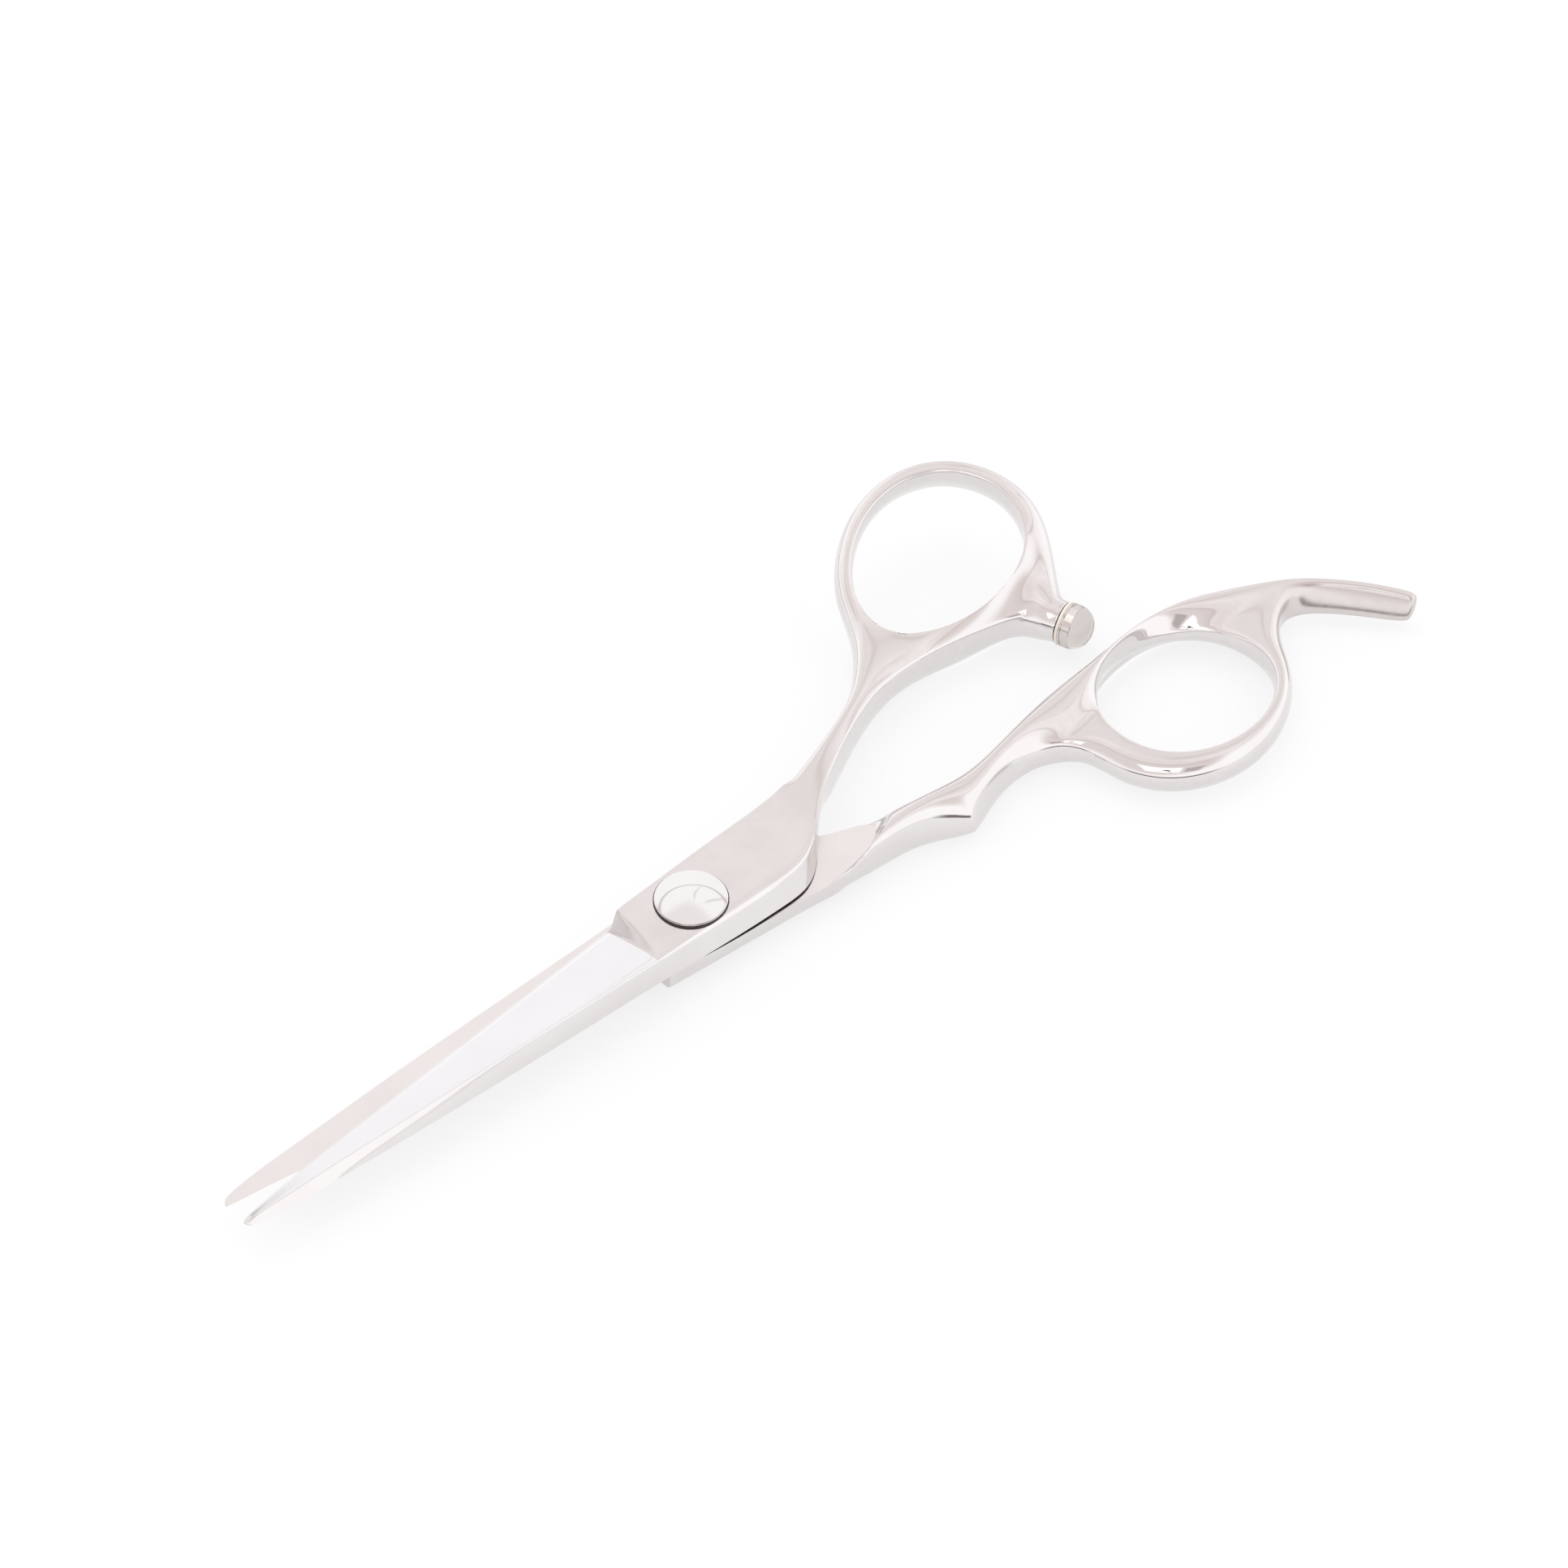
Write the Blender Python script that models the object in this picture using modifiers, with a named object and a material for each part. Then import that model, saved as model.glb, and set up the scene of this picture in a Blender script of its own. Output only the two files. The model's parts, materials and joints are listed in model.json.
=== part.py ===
"""Hair cutting shears, 5.5 inch class, with a domed pivot screw, a ball-bearing pivot and a finger rest.

Frame: origin on the pivot axis at the level of the surface the shears lie on, +X towards the finger
loops (the closed blades point along -X), +Y towards the thumb loop, +Z up.  Each half is drawn in its
own closed position, with the blade symmetric about the X axis, and turned to the rest opening by the
empty it hangs from.
"""
import math

import bmesh
import bpy
from mathutils import Matrix, Vector

MM = 0.001

# Driving dimensions, in millimetres and degrees
REST_OPENING = 2.85            # angle between the two blades as the shears lie
LAP_HEIGHT = 4.2               # plane where the two halves slide on each other
LAP_GAP = 0.1                  # oil gap between the two lap faces
THICKNESS = 2.85               # of each half at the pivot
SUBDIVISIONS = 1

HEAD_RADIUS = 4.0
HEAD_RIM = 0.1
HEAD_DOME = 0.95
HEAD_BASE = 7.44               # height of the underside of the screw head
SHAFT_RADIUS = 1.75
KEY_HALF_WIDTH = 1.45          # half distance across the two flats that key the screw
KEY_TOP = 3.7
THREAD_RADIUS = 1.35
RUNNING_GAP = 0.08

RACE_RECESS_RADIUS = 4.1
RACE_RECESS_DEPTH = 0.72
RACE_THICKNESS = 0.3
BALL_RADIUS = 0.39
BALL_PITCH_RADIUS = 3.32
BALL_COUNT = 10

NUT_RADIUS = 4.0
NUT_THICKNESS = 1.12
SPRING_RECESS_RADIUS = 3.7
SPRING_RECESS_TOP = 2.2

BOSS_CENTRE = Vector((63.55, 4.95, 4.0))
BUMPER_ANGLE = -72.0           # heading of the bumper's axis in plan
BUMPER_RADIUS = 2.72

# One blade: distance from the pivot, half-widths to the cutting edge, the ridge and the spine, height
BLADE_STATIONS = (
    (62.4, 0.14, 0.10, 0.58, 0.42),
    (61.6, 0.24, 0.42, 0.98, 0.64),
    (60.0, 0.42, 0.62, 1.32, 0.79),
    (56.0, 0.80, 0.88, 1.84, 1.06),
    (51.5, 1.52, 1.22, 2.12, 1.34),
    (45.0, 2.14, 1.75, 2.66, 1.68),
    (37.0, 2.72, 2.28, 3.25, 2.02),
    (28.0, 3.32, 2.85, 3.78, 2.36),
    (19.0, 3.95, 3.45, 4.28, 2.62),
    (11.5, 4.48, 3.95, 4.66, 2.80),
    (8.4, 4.66, 4.06, 4.84, 2.85),
)
# The thumb blade is a little fuller at the tip: extra half-width to the edge, station by station
THUMB_TIP_FULLNESS = (0.06, 0.22, 0.31, 0.35, 0.2, 0.05)
# The pivot block: distance along +X, half-widths to the outer wall, the ridge and the spine
BLOCK_STATIONS = (
    (-6.9, 4.72, 4.14, 4.95),
    (-3.0, 4.90, 4.20, 5.25),
    (3.0, 5.18, 4.36, 5.62),
    (8.5, 5.42, 4.42, 5.80),
)

# Loops: centre of the inner rim, half-axes of the rim, turn of the long axis, slopes of its plane,
# three-lobed swelling of the rim and its heading, height of the loop, height of its inner wall
THUMB_LOOP = dict(
    centre=(57.25, 20.3, 9.08), axes=(11.8, 9.4), turn=10.8, slope=(0.2, 0.25),
    swelling=0.0375, heading=-49.8, height=4.9, wall=3.9)
FINGER_LOOP = dict(
    centre=(66.5, -9.85, 5.0), axes=(11.1, 9.57), turn=0.0, slope=(0.0, 0.0),
    swelling=0.016, heading=-21.0, height=4.65, wall=3.2)

# Colours and finishes: base colour, metallic, roughness
FINISHES = dict(
    mirror_steel=((0.86, 0.85, 0.84), 1.0, 0.08),
    satin_steel=((0.80, 0.78, 0.77), 1.0, 0.32),
    bearing_steel=((0.70, 0.70, 0.71), 1.0, 0.18),
    black_polymer=((0.02, 0.02, 0.022), 0.0, 0.45),
    brown_polymer=((0.35, 0.22, 0.12), 0.0, 0.5),
    cream_polymer=((0.80, 0.72, 0.56), 0.0, 0.4),
    clear_polymer=((0.92, 0.90, 0.84), 0.0, 0.08),
)


def material(name):
    """Return the named finish as a Principled material, made on first use."""
    if name in bpy.data.materials:
        return bpy.data.materials[name]
    colour, metallic, roughness = FINISHES[name]
    made = bpy.data.materials.new(name)
    made.use_nodes = True
    shader = made.node_tree.nodes["Principled BSDF"]
    shader.inputs["Base Color"].default_value = (*colour, 1.0)
    shader.inputs["Metallic"].default_value = metallic
    shader.inputs["Roughness"].default_value = roughness
    return made


def add_object(name, mesh, collection, finish=None, parent=None):
    """Link a mesh as a named object, with its finish, under a frame empty."""
    made = bpy.data.objects.new(name, mesh)
    collection.objects.link(made)
    if finish:
        mesh.materials.append(material(finish))
    if parent:
        made.parent = parent
    return made


def mesh_from(name, bm):
    """Turn a bmesh in millimetres into a mesh in metres with its faces pointing out."""
    bmesh.ops.recalc_face_normals(bm, faces=bm.faces)
    bmesh.ops.scale(bm, vec=(MM, MM, MM), verts=bm.verts)
    mesh = bpy.data.meshes.new(name)
    bm.to_mesh(mesh)
    bm.free()
    mesh.shade_smooth()
    return mesh


# ---------------------------------------------------------------------------------------------
# The two halves: a coarse cage of eight-point sections under a subdivision surface.
# Section points: 0 bottom left, 1 bottom, 2 bottom right, 3 right, 4 top right, 5 top, 6 top left,
# 7 left, where left is +Y.

def blade_section(distance, edge, ridge, spine, height):
    """Section of a blade lying on the lap plane, with the ridge up and a fine bevel at the edge.
    A flat strip beside the ridge narrows from the block towards the tip."""
    x = -distance
    base = LAP_GAP / 2
    bevel = min(1.0, edge / 1.6)
    strip = max(0.16 * min(1.0, ridge), 1.15 - distance / 26)
    lip = Vector((x, edge - 0.55 * bevel, base + 0.32 * bevel))
    sharp = Vector((x, edge, base))
    return [
        sharp,
        Vector((x, (edge - spine) / 2, base)),
        Vector((x, -spine, base)),
        Vector((x, -(ridge + spine) / 2 - 0.06 * height, base + 0.5 * height)),
        Vector((x, -ridge, base + height)),
        Vector((x, strip - ridge, base + height)),
        lip,
        (lip + sharp) / 2,
    ]


def block_section(x, edge, ridge, spine):
    """Section of the thick block round the pivot, flat on top."""
    base = LAP_GAP / 2
    top = base + THICKNESS
    return [
        Vector((x, edge, base)),
        Vector((x, (edge - spine) / 2, base)),
        Vector((x, -spine, base)),
        Vector((x, -(ridge + spine) / 2, base + 0.5 * THICKNESS)),
        Vector((x, -ridge, top)),
        Vector((x, 0.0, top)),
        Vector((x, edge - 0.12, top)),
        Vector((x, edge, base + 0.5 * THICKNESS)),
    ]


def blade_and_block(fuller=()):
    """Sections from the tip to the end of the pivot block, heights counted from the lap plane. The
    cutting edge of each station near the tip stands out by its number in fuller."""
    rows = [list(row) for row in BLADE_STATIONS]
    for row, extra in zip(rows, fuller):
        row[1] += extra
    sections = [blade_section(*row) for row in rows]
    sections += [block_section(*row) for row in BLOCK_STATIONS]
    step, behind = sections[len(BLADE_STATIONS):len(BLADE_STATIONS) + 2]
    step[4].x -= 1.2
    step[5].xy = (step[5].x - 0.8, -2.7)
    behind[5].xy = (behind[5].x - 0.4, -1.2)
    return sections


def turned_over(section):
    """The same section for the other half: turned half a turn about the X axis."""
    flipped = [Vector((p.x, -p.y, -p.z)) for p in section]
    return flipped[4:] + flipped[:4]


def lifted(section):
    return [p + Vector((0, 0, LAP_HEIGHT)) for p in section]


def box_section(top_left, top_right, bottom_right, bottom_left, crown=0.0, keel=None,
                left=0.0, right=0.0):
    """Section from its four corners. The middle of the top stands proud by crown, that of a side by
    left or right, and the middle of the bottom is at the height keel."""
    tl, tr, br, bl = (Vector(p) for p in (top_left, top_right, bottom_right, bottom_left))
    across = (tl - tr).xy.normalized().to_3d()
    up = Vector((0, 0, 1))
    bottom = (bl + br) / 2
    if keel is not None:
        bottom.z = keel
    return [
        bl,
        bottom,
        br,
        (br + tr) / 2 - across * right,
        tr,
        (tl + tr) / 2 + up * crown,
        tl,
        (tl + bl) / 2 + across * left,
    ]


def loop_frame(loop):
    """Centre, long direction, short direction and normal of a loop's rim plane."""
    slope_x, slope_y = loop["slope"]
    normal = Vector((-slope_x, -slope_y, 1)).normalized()
    level = Vector((1, 0, 0)) - normal * normal.x
    long_way = Matrix.Rotation(math.radians(loop["turn"]), 3, normal) @ level.normalized()
    return Vector(loop["centre"]), long_way, normal.cross(long_way), normal


def rim_point(loop, angle, grow=1.0):
    centre, long_way, short_way, _ = loop_frame(loop)
    a, b = loop["axes"]
    t = math.radians(angle)
    grow *= 1 + loop["swelling"] * math.cos(3 * (t - math.radians(loop["heading"])))
    return centre + long_way * (a * grow * math.cos(t)) + short_way * (b * grow * math.sin(t))


def rim_outward(loop, angle):
    _, long_way, short_way, _ = loop_frame(loop)
    a, b = loop["axes"]
    t = math.radians(angle)
    return (long_way * (math.cos(t) / a) + short_way * (math.sin(t) / b)).normalized()


def loop_section(loop, angle, width, grow):
    """Section of a finger loop: a crisp inner rim on top, a full outer side, soft underneath."""
    rim = rim_point(loop, angle, grow)
    height = loop["height"]
    out = rim_outward(loop, angle)
    normal = loop_frame(loop)[3]

    def at(outward, upward):
        return rim + out * outward + normal * upward

    return dict(
        rim=at(0.0, 0.0),
        top=at(0.42 * width, 0.2),
        outer_top=at(0.92 * width, -0.6),
        outer=at(1.04 * width, -0.5 * height),
        outer_bottom=at(0.86 * width, -height + 0.75),
        bottom=at(0.5 * width, -height - 0.2),
        inner_bottom=at(0.05, -loop["wall"]),
        inner=at(-0.45, -0.5 * loop["wall"]),
    )


PATCH_ORDER = ("outer_top", "top", "rim", "inner", "inner_bottom", "bottom", "outer_bottom", "outer")


class Cage:
    """Quads between eight-point sections, with creases, for a subdivision surface."""

    def __init__(self):
        self.bm = bmesh.new()
        self.crease = self.bm.edges.layers.float.new("crease_edge")

    def ring(self, points):
        return [self.bm.verts.new(p) for p in points]

    def band(self, first, second, skip=()):
        for k in range(8):
            if k in skip:
                continue
            self.bm.faces.new((first[k], first[(k + 1) % 8], second[(k + 1) % 8], second[k]))

    def cap(self, ring):
        centre = self.bm.verts.new(sum((v.co for v in ring), Vector()) / 8)
        for k in (0, 2, 4, 6):
            self.bm.faces.new((ring[k - 1], ring[k], ring[k + 1], centre))

    def path(self, sections, gaps=()):
        """Join the sections in a row. A gap (i, side) leaves two bands of that side open."""
        rings = [self.ring(points) for points in sections]
        for i in range(len(rings) - 1):
            skip = []
            for start, side in gaps:
                if start <= i < start + 2:
                    skip += [6, 7] if side == "left" else [2, 3]
            self.band(rings[i], rings[i + 1], skip)
        self.cap(rings[0])
        self.cap(rings[-1])
        return rings

    def mark(self, a, b, value):
        edge = self.bm.edges.get((a, b))
        if edge is not None:
            edge[self.crease] = max(edge[self.crease], value)

    def crease_line(self, rings, point, first, last, value):
        for i in range(first, last):
            self.mark(rings[i][point], rings[i + 1][point], value)

    def crease_across(self, rings, station, points, value):
        for a, b in zip(points, points[1:]):
            self.mark(rings[station][a], rings[station][b], value)

    def arc(self, patch_a, patch_b, sections, rim_crease, floor_crease):
        """Bridge patch_a to patch_b through loop sections; patches are eight vertices in PATCH_ORDER."""
        rings = [patch_a]
        rings += [self.ring([s[name] for name in PATCH_ORDER]) for s in sections]
        rings.append(patch_b)
        for first, second in zip(rings, rings[1:]):
            self.band(first, second)
            self.mark(first[2], second[2], rim_crease)
            self.mark(first[4], second[4], floor_crease)
        return rings


def patch(rings, start, side, outer_first):
    """The eight border vertices of a two-by-two gap in a path's side, in PATCH_ORDER."""
    top, middle, bottom = (6, 7, 0) if side == "left" else (4, 3, 2)
    i, j = (start, start + 2) if outer_first else (start + 2, start)
    m = start + 1
    return [
        rings[i][top], rings[m][top], rings[j][top],
        rings[j][middle], rings[j][bottom],
        rings[m][bottom], rings[i][bottom], rings[i][middle],
    ]


def drop_loose(cage):
    loose = [v for v in cage.bm.verts if not v.link_faces]
    bmesh.ops.delete(cage.bm, geom=loose, context="VERTS")


def crease_blade(cage, rings, cutting, spine, ridge, lip, roof):
    """Crisp cutting edge, spine, ridge and step; roof is the outer face's middle point."""
    last_blade = len(BLADE_STATIONS) - 1
    block_end = last_blade + len(BLOCK_STATIONS)
    cage.crease_line(rings, cutting, 0, block_end, 1.0)
    cage.crease_line(rings, spine, 0, block_end, 1.0)
    cage.crease_line(rings, ridge, 1, block_end, 0.6)
    cage.crease_line(rings, lip, 1, last_blade, 0.8)
    cage.crease_line(rings, lip, last_blade, block_end, 0.7)
    wall = (cutting + 7) % 8
    for station, value in ((last_blade, 0.7), (last_blade + 1, 0.85)):
        cage.crease_across(rings, station, (cutting, wall, lip, roof), value)
        cage.crease_across(rings, station, (roof, ridge), 0.6 * value)


def boss_sections():
    """Round sections of the bumper boss, back to front."""
    heading = Vector((math.cos(math.radians(BUMPER_ANGLE)), math.sin(math.radians(BUMPER_ANGLE)), 0))
    side = Vector((-heading.y, heading.x, 0))
    up = Vector((0, 0, 1))
    sections = []
    for back, radius in ((1.9, 3.2), (0.7, 2.9), (0.0, 2.86)):
        centre = BOSS_CENTRE - heading * back
        corner = radius * math.sqrt(0.5)
        sections.append([
            centre + side * corner - up * corner, centre - up * radius,
            centre - side * corner - up * corner, centre - side * radius,
            centre - side * corner + up * corner, centre + up * radius,
            centre + side * corner + up * corner, centre + side * radius,
        ])
    return sections


def loop_arc(loop, first, spread, widths):
    """Sections of the free part of a loop, at even angles; grow makes up for the smoothing."""
    grow = 3.0 / (2.0 + math.cos(math.radians(spread)))
    return [loop_section(loop, first + spread * i, width, grow) for i, width in enumerate(widths)]


def thumb_half_cage():
    cage = Cage()
    sections = [lifted(s) for s in blade_and_block(THUMB_TIP_FULLNESS)]
    block_end = len(sections) - 1
    lap = LAP_HEIGHT + LAP_GAP / 2
    # end of the block: the spine side turns in towards the shank
    sections += [
        box_section((13.4, 5.4, 7.08), (12.7, -4.3, 7.1), (12.5, -5.8, lap), (13.4, 5.55, lap),
            right=0.05),
        box_section((16.2, 5.6, 7.0), (15.6, -3.0, 7.05), (15.5, -3.9, lap), (16.0, 5.75, lap)),
        box_section((18.6, 5.95, 6.9), (18.5, -0.8, 6.95), (18.7, -0.75, lap + 0.12),
            (18.0, 5.95, lap + 0.09)),
    ]
    lap_end = len(sections) - 1
    # the shank, from here on below the lap plane too
    sections += [
        box_section((20.9, 6.5, 6.8), (21.3, 1.7, 6.75), (21.7, 2.5, 3.3), (20.9, 6.45, 2.6),
            0.05, 1.9, 0.15, 0.1),
        box_section((23.4, 7.25, 6.7), (24.6, 4.0, 6.5), (24.7, 3.9, 1.5), (23.5, 7.3, 1.8),
            0.1, 0.8, 0.2, 0.15),
        box_section((27.2, 8.5, 6.6), (28.5, 6.2, 6.25), (28.7, 6.2, 1.1), (27.4, 8.5, 1.3),
            0.15, 0.3, 0.25, 0.15),
        box_section((32.0, 10.3, 6.4), (33.3, 8.6, 5.9), (33.4, 8.7, 0.8), (32.2, 10.3, 1.0),
            0.2, 0.1, 0.35, 0.15),
    ]
    junction = len(sections)
    sections += [
        box_section((36.2, 12.3, 6.2), (37.6, 10.3, 5.6), (37.7, 10.5, 0.7), (36.5, 12.3, 1.1),
            0.25, 0.0, 0.3, 0.15),
        box_section((41.2, 15.4, 6.3), (41.5, 11.1, 5.3), (41.5, 11.4, 0.7), (41.2, 15.4, 1.6),
            0.25, 0.0, 0.0, 0.15),
    ]
    corners = (
        (204, (45.3, 11.35, 5.05), 0.65, 0.0), (237, (49.7, 11.0, 4.95), 0.65, 0.0),
        (270, (54.1, 9.95, 5.05), 0.8, 0.05), (300, (58.1, 8.95, 5.2), 1.0, 0.3),
    )
    for angle, outer, foot, keel in corners:
        rim = rim_point(THUMB_LOOP, angle, 1.035)
        inner_foot = rim + rim_outward(THUMB_LOOP, angle) * 0.5 - Vector((0, 0, THUMB_LOOP["wall"]))
        outer_foot = (outer[0], outer[1] + 0.35, foot)
        sections.append(box_section(rim, outer, outer_foot, inner_foot, 0.1, keel, 0.6, 0.25))
    sections.append(box_section(
        (65.4, 11.2, 7.4), (59.9, 7.9, 5.45), (59.9, 8.0, 1.3), (65.4, 10.9, 3.4), 0.5, 1.0, 0.0, 0.2))
    sections += boss_sections()
    boss = len(sections) - 5
    rings = cage.path(sections, gaps=((junction, "left"), (boss, "left")))
    loop = loop_arc(THUMB_LOOP, 178.0, -26.6, (2.4, 2.1, 2.05, 2.1, 2.2, 2.3, 2.4, 2.6, 3.1))
    start = patch(rings, junction, "left", outer_first=True)
    end = patch(rings, boss, "left", outer_first=False)
    cage.arc(start, end, loop, 0.85, 0.45)

    crease_blade(cage, rings, cutting=0, spine=2, ridge=4, lip=6, roof=5)
    for edge in (0, 2):
        cage.crease_line(rings, edge, block_end, lap_end, 1.0)
    cage.crease_line(rings, 4, block_end, len(rings) - 4, 0.8)
    cage.crease_line(rings, 6, block_end, lap_end + 1, 0.5)
    cage.crease_line(rings, 6, junction + 2, boss, 0.85)
    cage.crease_line(rings, 0, junction + 2, boss, 0.45)
    cage.crease_across(rings, lap_end, (0, 1, 2), 1.0)
    cage.crease_across(rings, len(rings) - 1, (0, 1, 2, 3, 4, 5, 6, 7, 0), 0.9)
    drop_loose(cage)
    return cage.bm


def finger_half_cage():
    cage = Cage()
    sections = [lifted(turned_over(s)) for s in blade_and_block()]
    block_end = len(sections) - 1
    lap = LAP_HEIGHT - LAP_GAP / 2
    low = lap - THICKNESS
    # the near edge of the lap face stands out under the other half, and falls away a little
    for station, out, drop in ((-3, 0.42, 0.06), (-2, 0.42, 0.15), (-1, 0.24, 0.22)):
        sections[station][4] -= Vector((0, out, drop))

    def lap_section(top_left, top, top_right, bottom_right, bottom, bottom_left):
        """Section whose top edge is a skewed line on the lap face."""
        points = box_section(top_left, top_right, bottom_right, bottom_left)
        points[5] = Vector(top)
        points[1] = Vector(bottom)
        return points

    sections += [
        lap_section((12.6, 5.5, lap), (11.8, 0.2, lap), (11.2, -5.6, lap - 0.25),
                    (12.4, -5.5, low), (12.6, 0.0, low), (12.8, 4.3, low)),
        lap_section((15.4, 2.6, lap), (15.0, -1.8, lap), (12.9, -5.85, lap - 0.32),
                    (15.4, -5.7, low - 0.1), (15.5, -1.0, low - 0.1), (15.8, 2.2, low - 0.1)),
        lap_section((18.7, -0.2, lap), (18.6, -3.2, lap), (14.2, -6.0, lap - 0.3),
                    (18.4, -5.9, 1.1), (18.8, -2.6, 0.9), (19.4, -0.2, 1.1)),
        lap_section((26.1, -1.85, lap), (22.8, -4.8, lap), (15.4, -6.15, lap),
                    (21.6, -6.05, 1.0), (22.4, -3.8, 0.6), (23.6, -1.6, 1.1)),
    ]
    lap_end = len(sections) - 1
    # the shank with its finger rest, standing above the lap plane
    sections += [
        lap_section((27.3, -2.2, 5.3), (24.8, -4.9, 6.1), (18.2, -6.25, 5.1),
                    (24.6, -6.1, 0.9), (25.4, -4.2, 0.2), (26.4, -2.2, 1.0)),
        box_section((30.4, -3.1, 5.6), (26.4, -5.45, 5.7), (28.2, -6.3, 0.8), (30.2, -2.5, 0.9),
            0.4, 0.1, 0.3, 0.3),
        box_section((33.6, -3.45, 5.6), (31.6, -6.0, 5.7), (31.5, -7.7, 0.6), (33.6, -2.85, 0.8),
            0.4, 0.0, 0.3, 0.4),
        box_section((36.4, -3.6, 5.6), (34.4, -7.6, 5.5), (34.5, -9.3, 0.6), (36.4, -2.9, 0.8),
            0.4, 0.0, 0.3, 0.5),
        box_section((39.2, -3.5, 5.6), (37.5, -6.9, 5.5), (37.4, -7.8, 0.9), (39.2, -2.7, 0.8),
            0.4, 0.0, 0.3, 0.1),
        box_section((43.4, -2.6, 5.6), (41.8, -5.5, 4.9), (41.6, -6.1, 1.0), (43.4, -2.0, 0.8),
            0.6, 0.1, 0.3, 0.15),
    ]
    peak = lap_end + 4
    junction = len(sections)
    sections += [
        box_section((48.2, -1.4, 5.7), (47.0, -5.2, 4.3), (46.8, -5.7, 1.1), (48.0, -0.9, 0.8),
            0.8, 0.1, 0.3, 0.2),
        box_section((53.2, -0.3, 5.7), (51.8, -7.4, 4.4), (51.6, -7.4, 1.1), (53.0, 0.0, 0.8),
            0.7, 0.1, 0.4, 0.1),
    ]
    corners = (
        (152, (58.6, 0.35, 5.65), 0.6, 0.6), (120, (64.2, 0.9, 5.55), 0.95, 1.25),
        (87, (70.2, 1.5, 5.6), 1.1, 1.5), (58, (76.0, 1.1, 5.7), 1.05, 1.3),
        (33, (80.6, -0.6, 5.8), 0.85, 0.7),
    )
    for angle, outer, crown, drop in corners:
        rim = rim_point(FINGER_LOOP, angle, 1.03 + 0.035 * drop) - Vector((0, 0, drop))
        inner_foot = rim + rim_outward(FINGER_LOOP, angle) * 0.4 - Vector((0, 0, FINGER_LOOP["wall"] - drop))
        outer_foot = (outer[0] - 0.2, outer[1] - 0.2, 0.9)
        sections.append(box_section(outer, rim, inner_foot, outer_foot, crown, 0.0, 0.3, 0.5))
    # the tang, a little above the surface
    sections += [
        box_section((84.6, -2.5, 5.6), (82.6, -5.4, 5.2), (82.0, -6.3, 1.1), (84.2, -3.0, 1.4),
            0.4, 0.7, 0.3, 0.0),
        box_section((88.4, -4.5, 5.4), (87.5, -5.45, 5.35), (86.2, -6.8, 1.5), (88.0, -4.8, 1.7),
            0.2, 1.6, 0.3, 0.2),
        box_section((92.0, -7.3, 5.2), (91.0, -8.1, 5.15), (89.6, -9.4, 1.6), (91.8, -7.6, 1.8),
            0.2, 1.7, 0.3, 0.2),
        box_section((95.6, -11.0, 5), (94.5, -11.7, 4.95), (93.0, -12.9, 1.5), (95.4, -11.3, 1.7),
            0.2, 1.6, 0.3, 0.2),
        box_section((98.6, -15.1, 4.8), (97.4, -15.65, 4.7), (95.9, -16.5, 1.5), (98.4, -15.4, 1.7),
            0.1, 1.6, 0.2, 0.1),
        box_section((98.9, -15.9, 4.4), (97.8, -16.4, 4.2), (96.7, -17.0, 2), (98.7, -16.1, 2.2),
            0.1, 2.1, 0.1, 0.1),
    ]
    tang = junction + 6
    rings = cage.path(sections, gaps=((junction, "right"), (tang, "right")))
    loop = loop_arc(FINGER_LOOP, 172.0, 24.0, (3.9, 3.9, 3.6, 3.1, 2.6, 2.1, 1.9, 2.3, 4.2))
    start = patch(rings, junction, "right", outer_first=True)
    end = patch(rings, tang, "right", outer_first=False)
    cage.arc(start, end, loop, 0.85, 0.45)

    crease_blade(cage, rings, cutting=4, spine=6, ridge=0, lip=2, roof=1)
    for edge in (4, 6):
        cage.crease_line(rings, edge, block_end, lap_end, 1.0)
    for edge in (0, 2):
        cage.crease_line(rings, edge, block_end, lap_end - 1, 0.5)
    cage.crease_across(rings, lap_end, (4, 5, 6), 1.0)
    cage.crease_across(rings, lap_end + 1, (3, 4, 5, 6), 0.6)
    cage.crease_across(rings, peak, (2, 3, 4), 0.8)
    cage.crease_line(rings, 4, junction + 2, tang, 0.85)
    cage.crease_line(rings, 2, junction + 2, tang, 0.45)
    drop_loose(cage)
    return cage.bm


def add_half(name, bm, frame, collection, cutters):
    half = add_object(name, mesh_from(name, bm), collection, "mirror_steel", frame)
    surface = half.modifiers.new("surface", "SUBSURF")
    surface.levels = SUBDIVISIONS
    surface.render_levels = SUBDIVISIONS
    for cutter in cutters:
        cut = half.modifiers.new(cutter.name, "BOOLEAN")
        cut.operation = "DIFFERENCE"
        cut.solver = "EXACT"
        cut.object = cutter
    return half


# ---------------------------------------------------------------------------------------------
# Turned parts

def turned(name, profile, collection, finish=None, parent=None, segments=32, closed=True):
    """Turn a profile of (radius, height) about Z. It runs down its outer side, top to bottom."""
    bm = bmesh.new()
    verts = [bm.verts.new((r * MM, 0, z * MM)) for r, z in profile]
    for a, b in zip(verts, verts[1:]):
        bm.edges.new((a, b))
    if closed:
        bm.edges.new((verts[-1], verts[0]))
    mesh = bpy.data.meshes.new(name)
    bm.to_mesh(mesh)
    bm.free()
    made = add_object(name, mesh, collection, finish, parent)
    screw = made.modifiers.new("turn", "SCREW")
    screw.steps = segments
    screw.render_steps = segments
    screw.use_merge_vertices = True
    screw.merge_threshold = 0.00001
    screw.use_smooth_shade = True
    screw.use_normal_calculate = False
    return made


def ring_profile(inner, outer, low, high, chamfer=0.0):
    c = chamfer
    if not c:
        return [(inner, high), (outer, high), (outer, low), (inner, low)]
    return [
        (inner, high), (outer - c, high), (outer, high - c),
        (outer, low + c), (outer - c, low), (inner, low),
    ]


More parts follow.
